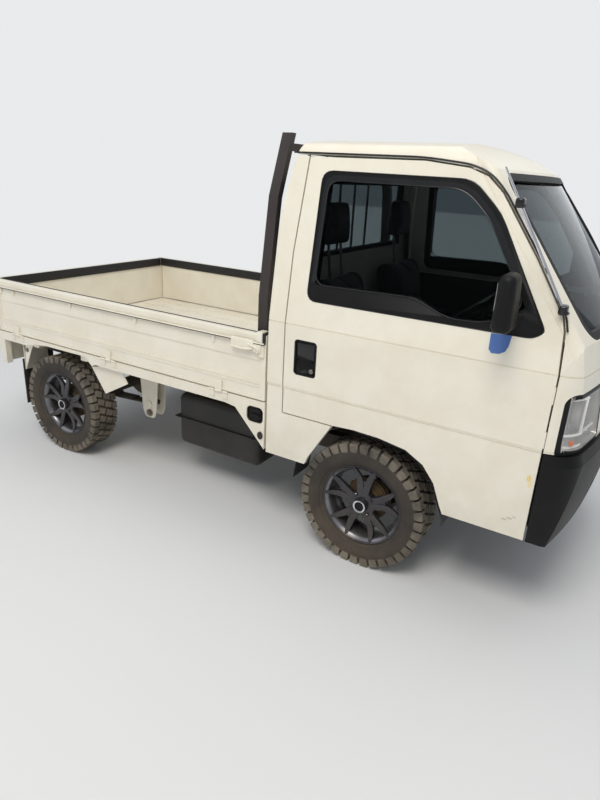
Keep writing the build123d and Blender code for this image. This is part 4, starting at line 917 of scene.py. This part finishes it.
glass_bead = tube(rounded([on_side(x, z, 0.4) for x, z in GLASS_LINE], 0.05, 5), 0.0027, True)
frame_bead = tube(rounded([on_side(x, z, 0.2) for x, z in FRAME_LINE], 0.045, 5), 0.0022, True)
beads = keep(join([glass_bead, frame_bead]), "window_beads_right", bead, DOOR)
other_side([beads], DOOR_LEFT)
drip = bent([on_side(x, z, 1.0) for x, z in DRIP_LINE], 0.0034, 0.06, 5)
keep(drip, "drip_rail_right", bead)
other_side([drip])

# %% [markdown]
# ## Mirrors
# The trim of each door is copied and its plain mirror box cut away. The new housing is a
# box with generous bevels, narrowed towards the top and hollowed for the glass.

# %% Door trim without its mirror box
MIRROR = Vector((FRONT_AXLE_X + 0.487, -0.792, 1.250))
BACK_REACH, FRONT_REACH = Vector((0.032, 0.064, 0.091)), Vector((0.034, 0.064, 0.091))
trim = open_copy("door_trim_right")
pick(lambda c, n: c.y < MIRROR.y + 0.066 and abs(c.x - MIRROR.x) < 0.034 and abs(c.z - MIRROR.z) < 0.093)
bpy.ops.mesh.delete(type="FACE")
keep(trim, "door_trim_detailed_right", black, DOOR, angle=30)
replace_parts(trim, "door_trim_right")
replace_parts(other_side([trim], DOOR_LEFT), "door_trim_left")
print("trim faces", len(trim.data.polygons))

# %% Mirror housing and glass
housing = box(MIRROR - BACK_REACH, MIRROR + FRONT_REACH)
edit()
pick(lambda c, n: n.z > 0.9)
stretch((0.80, 0.84, 1), MIRROR + Vector((-0.02, 0.012, 0)))
every()
bevel(0.024, 5)
pick(lambda c, n: n.x < -0.97)
bpy.ops.mesh.inset(thickness=0.004)
pull((0.005, 0, 0))
keep(housing, "mirror_housing_right", black, DOOR, angle=50)
pane = box(MIRROR + Vector((-0.029, -0.046, -0.070)), MIRROR + Vector((-0.0265, 0.044, 0.062)), 0.001, 1)
keep(pane, "mirror_glass_right", chrome, DOOR)
other_side([housing, pane], DOOR_LEFT)
print("mirror faces", len(housing.data.polygons))

# %% [markdown]
# ## Door details
# The key lock sits in the handle's pocket, and the pull flap has a thickened lip. Inside,
# a card with an armrest and a winder covers each door's frame.

# %% Lock, flap lip and door cards
CARD_OUTLINE = [(-352, 670), (-352, 1096), (560, 1096), (590, 1000), (590, 690), (330, 670)]
REST_OUTLINE = [(-250, 870), (-250, 905), (170, 905), (210, 880), (170, 868)]
flap = slab([(-328, 950), (-246, 950), (-246, 884), (-328, 896)], -689, -680, 0.006, 3)
lock = turned(hub(-258, -689, 838), [(0, -9), (10, -9), (10, 0), (8.5, 1), (7, 0), (0, 0)], 24)
keep(flap, "handle_flap_right", bead, DOOR)
keep(lock, "door_lock_right", steel, DOOR)
card = slab(CARD_OUTLINE, -650, -640, 0.004)
rest = slab(REST_OUTLINE, -640, -604, 0.010, 3)
winder = tube([hub(240, -638, 860), hub(240, -618, 860), hub(150, -612, 842), hub(150, -590, 842)], 0.006)
keep(join([card, rest, winder]), "door_card_right", cabin, DOOR)
other_side([flap, lock, card], DOOR_LEFT)
print("doors done")

# %% [markdown]
# ## Headlamps
# Everything inside a lamp's opening is bright, and only the surround is black. Between
# them the photograph shows a pale frame round the side unit, an orange bulb in the
# compartment below it, and the bowl that faces forward.

# %% Bright insides by place
LAMP_X, LAMP_Y, LAMP_LOW, LAMP_HIGH = 0.716, 0.430, 0.758, 0.946
HAIR = 0.0005


def in_lamp(centre):
    """Whether a face lies inside a lamp's opening, seen from the side and from the front."""
    return (centre.x - FRONT_AXLE_X > LAMP_X - HAIR and abs(centre.y) > LAMP_Y - HAIR
            and LAMP_LOW - HAIR < centre.z < LAMP_HIGH + HAIR)


lamps = nodes["lamp_bezels"]
lamps.data.materials.append(silver)
for face in lamps.data.polygons:
    if in_lamp(face.center):
        face.material_index = 1
print("bright faces", sum(f.material_index for f in lamps.data.polygons))

# %% Frames, bulbs and divider
CORNER_X, CORNER_Y, CORNER_RADIUS, CORNER_STEPS = 646.6, -561.0, 130.0, 8
ARC_FROM, ARC_TURN = 57, 46
BOW_RADIUS, BOW_STEP, NOSE_X = 3000, 25, 832
NOSE_LEAN, NOSE_LEAN_Z = 0.08, 760
LOW_Z, DIVIDER_Z, HIGH_Z = 765, 809, 938


def lamp_curve(z, inset, y_end=-440.0):
    """Points along a lamp's skin at a height, from the side round the corner to the front."""
    corner = CORNER_RADIUS - inset
    points = []
    for k in range(CORNER_STEPS + 1):
        a = math.radians(ARC_FROM - ARC_TURN * k / CORNER_STEPS)
        points.append(hub(CORNER_X + corner * math.cos(a), CORNER_Y - corner * math.sin(a), z))
    y = points[-1].y * 1000
    while y < y_end:
        bow = math.sqrt((BOW_RADIUS - inset) ** 2 - y ** 2) - BOW_RADIUS
        points.append(hub(NOSE_X + bow - max(0, z - NOSE_LEAN_Z) * NOSE_LEAN, y, z))
        y += BOW_STEP
    return points


for side in ("right", "left"):
    frames = join([tube(lamp_curve(DIVIDER_Z, 12), 0.0048),
                   tube(lamp_curve(LOW_Z, 11, -560), 0.0045),
                   tube(lamp_curve(HIGH_Z, 14, -600), 0.0045),
                   tube([lamp_curve(z, 12)[0] for z in (LOW_Z, DIVIDER_Z, 860, HIGH_Z)], 0.005),
                   tube([lamp_curve(z, 13)[7] for z in (DIVIDER_Z, 860, HIGH_Z)], 0.0048)])
    bulb = turned(hub(742, -640, 785), [(0, -14), (6, -12), (9, -6), (9, 4), (7, 14), (0, 14)], 20, 1)
    keep(frames, f"lamp_frames_{side}", lamp_frame)
    keep(bulb, f"lamp_amber_bulb_{side}", amber_lens)
    if side == "left":
        mirror(frames)
        mirror(bulb)
print("lamps done")

# %% [markdown]
# ## Padded seats
# Each seat is a cushion, a back and a headrest on two posts. Foam swells evenly
# inside its cover, so each pad starts as a slightly small form, is remeshed to an even
# grid and is filled with pressure. The seams are sewn afterwards, because a remesh would
# erase them, and the middle panel is cloth between vinyl sides.

# %% Filling and sewing
SEAT_Y = -355.0
VOXEL, SWELL_MAX, PRESSURE, FRAMES = 0.006, 0.024, 4.0, 20
PANEL_HALF = 0.135


def pad(thing):
    """Fills a closed form like a cushion, with a limit on how far a point may move."""
    only(thing)
    grid = thing.modifiers.new("even_grid", "REMESH")
    grid.mode = "VOXEL"
    grid.voxel_size = VOXEL
    bpy.ops.object.modifier_apply(modifier=grid.name)
    homes = [v.co.copy() for v in thing.data.vertices]
    puff = thing.modifiers.new("puff", "CLOTH")
    puff.settings.use_pressure = True
    puff.settings.uniform_pressure_force = PRESSURE
    puff.settings.effector_weights.gravity = 0.0
    puff.point_cache.frame_start, puff.point_cache.frame_end = 1, FRAMES
    for step in range(1, FRAMES + 1):
        bpy.context.scene.frame_set(step)
    bpy.ops.object.modifier_apply(modifier=puff.name)
    bpy.context.scene.frame_set(1)
    for vertex, home in zip(thing.data.vertices, homes):
        moved = vertex.co - home
        if moved.length > SWELL_MAX:
            vertex.co = home + moved.normalized() * SWELL_MAX
    return thing


def sew(thing, lines, depth=0.007, width=0.007):
    """Pulls the cover in along stitch lines, each a function that gives a distance to it."""
    normals = [v.normal.copy() for v in thing.data.vertices]
    for vertex, normal in zip(thing.data.vertices, normals):
        drawn_in = max(math.exp(-(line(vertex.co) / width) ** 2) for line in lines)
        vertex.co = vertex.co - normal * depth * drawn_in


def panel(thing):
    """Cloth in the middle of a pad and vinyl on its sides."""
    thing.data.materials.append(vinyl)
    for face in thing.data.polygons:
        face.material_index = int(abs(face.center.y - SEAT_Y / 1000) > PANEL_HALF)


def narrow_top(shares, centre, offset, segments):
    """Narrows the top of the active form, then rounds all its edges."""
    edit()
    pick(lambda c, n: n.z > 0.6)
    stretch(shares, centre)
    every()
    bevel(offset, segments)
    begin()


# %% Cushion, back and headrest
CUSHION = [(158, 678), (182, 738), (164, 784), (58, 796), (-226, 758), (-322, 680)]
BACK = [(-230, 786), (-300, 1162), (-322, 1188), (-370, 1188), (-392, 1165), (-344, 770)]
HEAD_X, HEAD_HALF, HEAD_LOW, HEAD_HIGH = -366, 108, 1312, 1492
side_seams = [lambda co: abs(abs(co.y - SEAT_Y / 1000) - PANEL_HALF)]
cushion = pad(slab(CUSHION, -586, -124, 0.026, 3))
sew(cushion, side_seams + [lambda co: abs(co.x - hub(-70, 0, 0).x)])
back = slab(BACK, -574, -136)
narrow_top((1, 0.86, 1), hub(-340, SEAT_Y, 1180), 0.024, 3)
sew(pad(back), side_seams + [lambda co: abs(co.z - 1.000)])
headrest = box(hub(HEAD_X - 28, SEAT_Y - HEAD_HALF, HEAD_LOW),
               hub(HEAD_X + 28, SEAT_Y + HEAD_HALF, HEAD_HIGH))
narrow_top((0.85, 0.82, 1), hub(HEAD_X, SEAT_Y, HEAD_HIGH), 0.027, 4)
sew(pad(headrest), [lambda co: abs(co.x - hub(HEAD_X, 0, 0).x)], 0.004, 0.006)
POST = [(-346, 1170), (-358, 1260), (HEAD_X, 1340)]
posts = [bent([hub(x, SEAT_Y + side, z) for x, z in POST], 0.006, 0.04, 4) for side in (-55, 55)]
pads = {"seat_cushion": cushion, "seat_back": back, "seat_headrest": headrest}
for label, piece in pads.items():
    keep(piece, f"{label}_right", cloth if label != "seat_headrest" else vinyl, angle=60)
    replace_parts(piece, "seat_right")
    if label != "seat_headrest":
        panel(piece)
    other_seat = other_side([piece])
    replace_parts(other_seat, "seat_left")
other_side([keep(join(posts), "headrest_posts_right", steel)])
print("seat faces", [len(p.data.polygons) for p in pads.values()])

# %% [markdown]
# ## Inside the cab
# Through the side window the photograph shows a belt on the rear pillar and a dark grip
# on the windscreen pillar. A belt is a flat strap, so it is a thin outline pulled across.

# %% Belts and grips
belt = strap([hub(-452, -602, 1405), hub(-406, -602, 1405), hub(-366, -622, 740), hub(-412, -622, 740)],
             Vector((0, 0.0018, 0)))
anchor = box(hub(-454, -606, 1392), hub(-402, -590, 1446), 0.006, 3)
buckle = box(hub(-414, -620, 900), hub(-364, -606, 960), 0.005, 2)
keep(belt, "belt_right", webbing)
fittings = keep(join([anchor, buckle]), "belt_fittings_right", black)
grip = bent([hub(300, -604, 1546), hub(322, -580, 1526), hub(394, -588, 1440), hub(404, -614, 1412)],
            0.011, 0.03, 4)
keep(grip, "assist_grip_right", black)
other_side([belt, fittings, grip])
print("cab fittings done")

# %% [markdown]
# ## Bed fittings
# At the front end of each side gate a lever latch holds the gate to its post, a black
# rubber block stops it rattling, and rubber guard strips line the tops of all three gates.
# A thin black bar under each side rail's lip is a painted shadow line.

# %% Latches, blocks, rubber guard strips and painted rail shadow
LATCH_Y = -700.0
GUARD_LOW, GUARD_HIGH = 896, 951


def latch_bar(points, radius, bend):
    """A bent bar from places on the latch: along, outboard of the gate and height."""
    return bent([hub(x, LATCH_Y - out, z) for x, out, z in points], radius, bend, 3)


lever = box(hub(-655, LATCH_Y - 9, 880), hub(-536, LATCH_Y + 2, 924), 0.009, 3)
lip = latch_bar([(-652, 8, 884), (-600, 13, 880), (-546, 8, 884)], 0.004, 0.02)
keeper = box(hub(-538, LATCH_Y - 7, 872), hub(-498, LATCH_Y + 8, 908), 0.005, 2)
hook = latch_bar([(-548, 10, 902), (-520, 12, 898), (-505, 9, 882), (-516, 8, 874)], 0.0045, 0.01)
pivot = turned(hub(-560, LATCH_Y - 8, 902), [(0, 0), (7, 0), (7, 3), (5, 5), (0, 5), (0, 0)], 20)
cap_block = box(hub(-524, -703, 918), hub(-494, -656, 964), 0.005, 2)
rail_lip = box(hub(-2388, -706, 912), hub(-484, -698, 917), 0.0015, 2)
latch = join([lever, lip, keeper, hook, pivot, cap_block, rail_lip])
keep(latch, "gate_latch_right", paint, "gate_right_body")
rubber_block = box(hub(-494.5, -700, 908), hub(-482, -658, 960), 0.004, 2)
guard = box(hub(-2384, -657.5, GUARD_LOW), hub(-496, -649, GUARD_HIGH), 0.003, 2)
# A thin black bar under the rail lip is a painted shadow line.
rail_shadow_line = tube([hub(-2380, -700.2, 909.5), hub(-486, -700.2, 909.5)], 0.0026)
guards_and_shadow = keep(join([rubber_block, guard, rail_shadow_line]), "gate_rubber_right", rubber, "gate_right_body")
other_side([latch, guards_and_shadow], "gate_left_body")
tail_guard = box(hub(-2357, -640, GUARD_LOW), hub(-2348.5, 640, GUARD_HIGH), 0.003, 2)
keep(tail_guard, "tailgate_rubber", rubber, "tailgate_body")
tail_latches = []
for side in (-1, 1):
    tail_latches.append(box(hub(-2399, side * 610 - 30, 846), hub(-2388, side * 610 + 30, 880), 0.004, 3))
    tail_latches.append(tube([hub(-2394.5, side * 610, 858), hub(-2394.5, side * 668, 858)], 0.0045))
keep(join(tail_latches), "tailgate_latches", paint, "tailgate_body")
print("latches done")

# %% [markdown]
# ## Fuel filler
# The opening in the side panel has a black cup in it, and the round cap has a grip bar
# across its face. The cup is one outline, inset and pushed in.

# %% Cup and cap
FILLER_LINE = [(-573.5, 543.5), (-487.5, 543.5), (-487.5, 616.5), (-573.5, 616.5)]
cup = slab([(p.x * 1000, p.z * 1000) for p in
            rounded([(x / 1000, 0, z / 1000) for x, z in FILLER_LINE], 0.024, 5)], -687, -671)
edit()
pick(lambda c, n: n.y < -0.9)
bpy.ops.mesh.inset(thickness=0.003)
pull((0, 0.013, 0))
keep(cup, "filler_cup", rubber)
CAP_AT, PLUG_AT = hub(-529, -674, 578), hub(-498, -691, 488)
fuel_cap = turned(CAP_AT, [(0, 0), (29, 0), (30, 2), (30, 8), (28, 10), (0, 10), (0, 0)], 36)
bar = box(CAP_AT + Vector((-0.024, -0.019, -0.005)), CAP_AT + Vector((0.024, -0.009, 0.005)), 0.003, 2)
keep(join([fuel_cap, bar]), "filler_cap", black)
PLUG = [(0, -8), (11, -8), (11, 0), (15, 0), (15, 2.5), (12, 4), (10, 2), (0, 2), (0, -8)]
plug = turned(PLUG_AT, PLUG, 28)
plug.data.transform(Matrix.Translation(PLUG_AT) @ Matrix.Diagonal((0.95, 1, 1.25, 1))
                    @ Matrix.Translation(-PLUG_AT))
keep(plug, "drain_plug", rubber)

# %% [markdown]
# ## Bolts
# A head on a washer is turned at each place where a spring hanger or a mudguard stay is
# bolted, on the face of the solid bracket there, and mirrored to the left side.

# %% Bolt heads
BRACKETS = nodes["mudguard_brackets"].data.vertices


def outermost(x, z, reach):
    """How far out the brackets stand near a place, read from their solid."""
    return min(v.co.y for v in BRACKETS
               if abs(v.co.x - x) < reach and abs(v.co.z - z) < reach and v.co.y < 0)


BOLT_SHAPE = [(0, -0.3), (1.7, -0.3), (1.7, 0.2), (1.15, 0.25), (1.15, 0.9), (0.95, 1.05), (0, 1.05),
              (0, -0.3)]


def bolt(place, outward, radius):
    """A bolt head with its washer, turned about a line that points outward."""
    points = [place + Vector((0, 0, 1)) * r * radius + outward * a * radius for r, a in BOLT_SHAPE]
    return lathe(points, place, axis=outward, steps=12)


heads = []
for x, z, radius in ((0.501, 0.300, 0.012), (0.386, 0.520, 0.008), (-0.262, 0.560, 0.008)):
    x += REAR_AXLE_X
    y = outermost(x, z, 0.07)
    print("bracket at", round(x, 3), round(z, 3), "stands out to", y)
    heads.append(bolt(Vector((x, y, z)), Vector((0, -1, 0)), radius))
heads_left = [twin(head, "bolt_left") for head in heads]
for head in heads_left:
    mirror(head)
keep(join(heads + heads_left), "bracket_bolts", steel, angle=30)

# %% [markdown]
# ## Tail lamps
# Each lamp is a black tray with three lenses: amber outside, red in the middle and clear
# inside. The lenses are separate, because each has its own colour.

# %% Lenses
TAIL_BACK, TAIL_FACE = -1.594, -1.6195
LENSES = (("amber", 0.572, 0.647, amber_lens), ("red", 0.492, 0.570, red_lens), ("clear", 0.412, 0.490, lens))
for side, hand in (("right", -1), ("left", 1)):
    tray = box((TAIL_BACK, hand * 0.411, 0.483), (TAIL_BACK - 0.014, hand * 0.648, 0.589), 0.004, 2)
    keep(tray, f"tail_tray_{side}", black)
    for label, near_y, far_y, glass_paint in LENSES:
        shape = box((TAIL_BACK - 0.013, hand * near_y, 0.486), (TAIL_FACE, hand * far_y, 0.586), 0.006, 3)
        keep(shape, f"tail_lens_{label}_{side}", glass_paint)
        if label == "clear":
            reflector = box((TAIL_BACK - 0.0135, hand * (near_y + 0.004), 0.490),
                            (TAIL_BACK - 0.0155, hand * (far_y - 0.004), 0.582), 0.0008, 1)
            keep(reflector, f"tail_reflector_{side}", silver)
    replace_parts(tray, "tail_lamps")
print("tail lamps done")

# %% [markdown]
# ## Aerial
# The bright rod leans along the windscreen pillar between two black clamps. The wipers
# stay as they are, so they are copied without the plain rod that stood in for it.

# %% Wipers, rod and clamps
arms = open_copy("wipers")
pick(lambda c, n: c.y < -0.56)
bpy.ops.mesh.delete(type="FACE")
keep(arms, "wiper_arms", black, angle=40)
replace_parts(arms, "wipers")

ROD_LOW, ROD_HIGH, ROD_X, ROD_LEAN, ROD_OUT = 1212, 1645, 373, 0.632, 14.0
CLAMP_LOW, CLAMP_HIGH = 1229, 1540


def pillar(z):
    """A point beside the windscreen pillar, on the line of the aerial."""
    return on_side(ROD_X + (ROD_HIGH - z) * ROD_LEAN, z, ROD_OUT)


rod = join([tube([pillar(ROD_LOW), pillar(ROD_HIGH)], 0.0036),
            tube([pillar(ROD_LOW + 6), pillar(CLAMP_HIGH)], 0.0052)])
keep(rod, "aerial_rod", chrome)
clamps = []
for z in (CLAMP_LOW, CLAMP_HIGH):
    at = pillar(z)
    clamps.append(box(at - Vector((0.015, 0.010, 0.016)), at + Vector((0.013, 0.034, 0.016)), 0.008, 4))
    clamps.append(tube([at, at + Vector((0.016, -0.004, -0.012))], 0.009))
keep(join(clamps), "aerial_clamps", bead)

# %% [markdown]
# ## Dark edge of the window glass
# The glass has a dark printed edge, so from outside the rubber round it looks narrow. The
# edge is a thin glossy band just outside the frame's inner line.

# %% Glass edge
INNER_LINE = [(-274, 1200), (-270, 1576), (250, 1572), (352, 1484), (520, 1216)]
OUTER_LINE = [(-291, 1200), (-288, 1595), (263, 1591), (372, 1494), (557, 1198)]
inner = rounded([on_side(x, z, 0.3) for x, z in INNER_LINE], 0.05, 5, closed=False)
outer = rounded([on_side(x, z, 0.3) for x, z in OUTER_LINE], 0.06, 5, closed=False)
edge_band = strap(inner + outer[::-1], Vector((0, -0.0009, 0)))
keep(edge_band, "glass_edge_right", bead, DOOR)
other_side([edge_band], DOOR_LEFT)

# %% [markdown]
# ## Painted mirror shadow
# The mirror's shadow on the door below it is painted on in blue, as a thin outline on the skin.

# %% Painted mirror shadow
SHADOW_OUTLINE = [(427, 1120), (496, 1122), (492, 1085), (484, 1066), (466, 1056), (440, 1054), (429, 1066)]
shadow_piece = strap([on_side(x, z, 0.4) for x, z in SHADOW_OUTLINE], Vector((0, -0.0008, 0)))
keep(shadow_piece, "mirror_shadow_painted", mirror_shadow_paint, DOOR)
print("marks done")
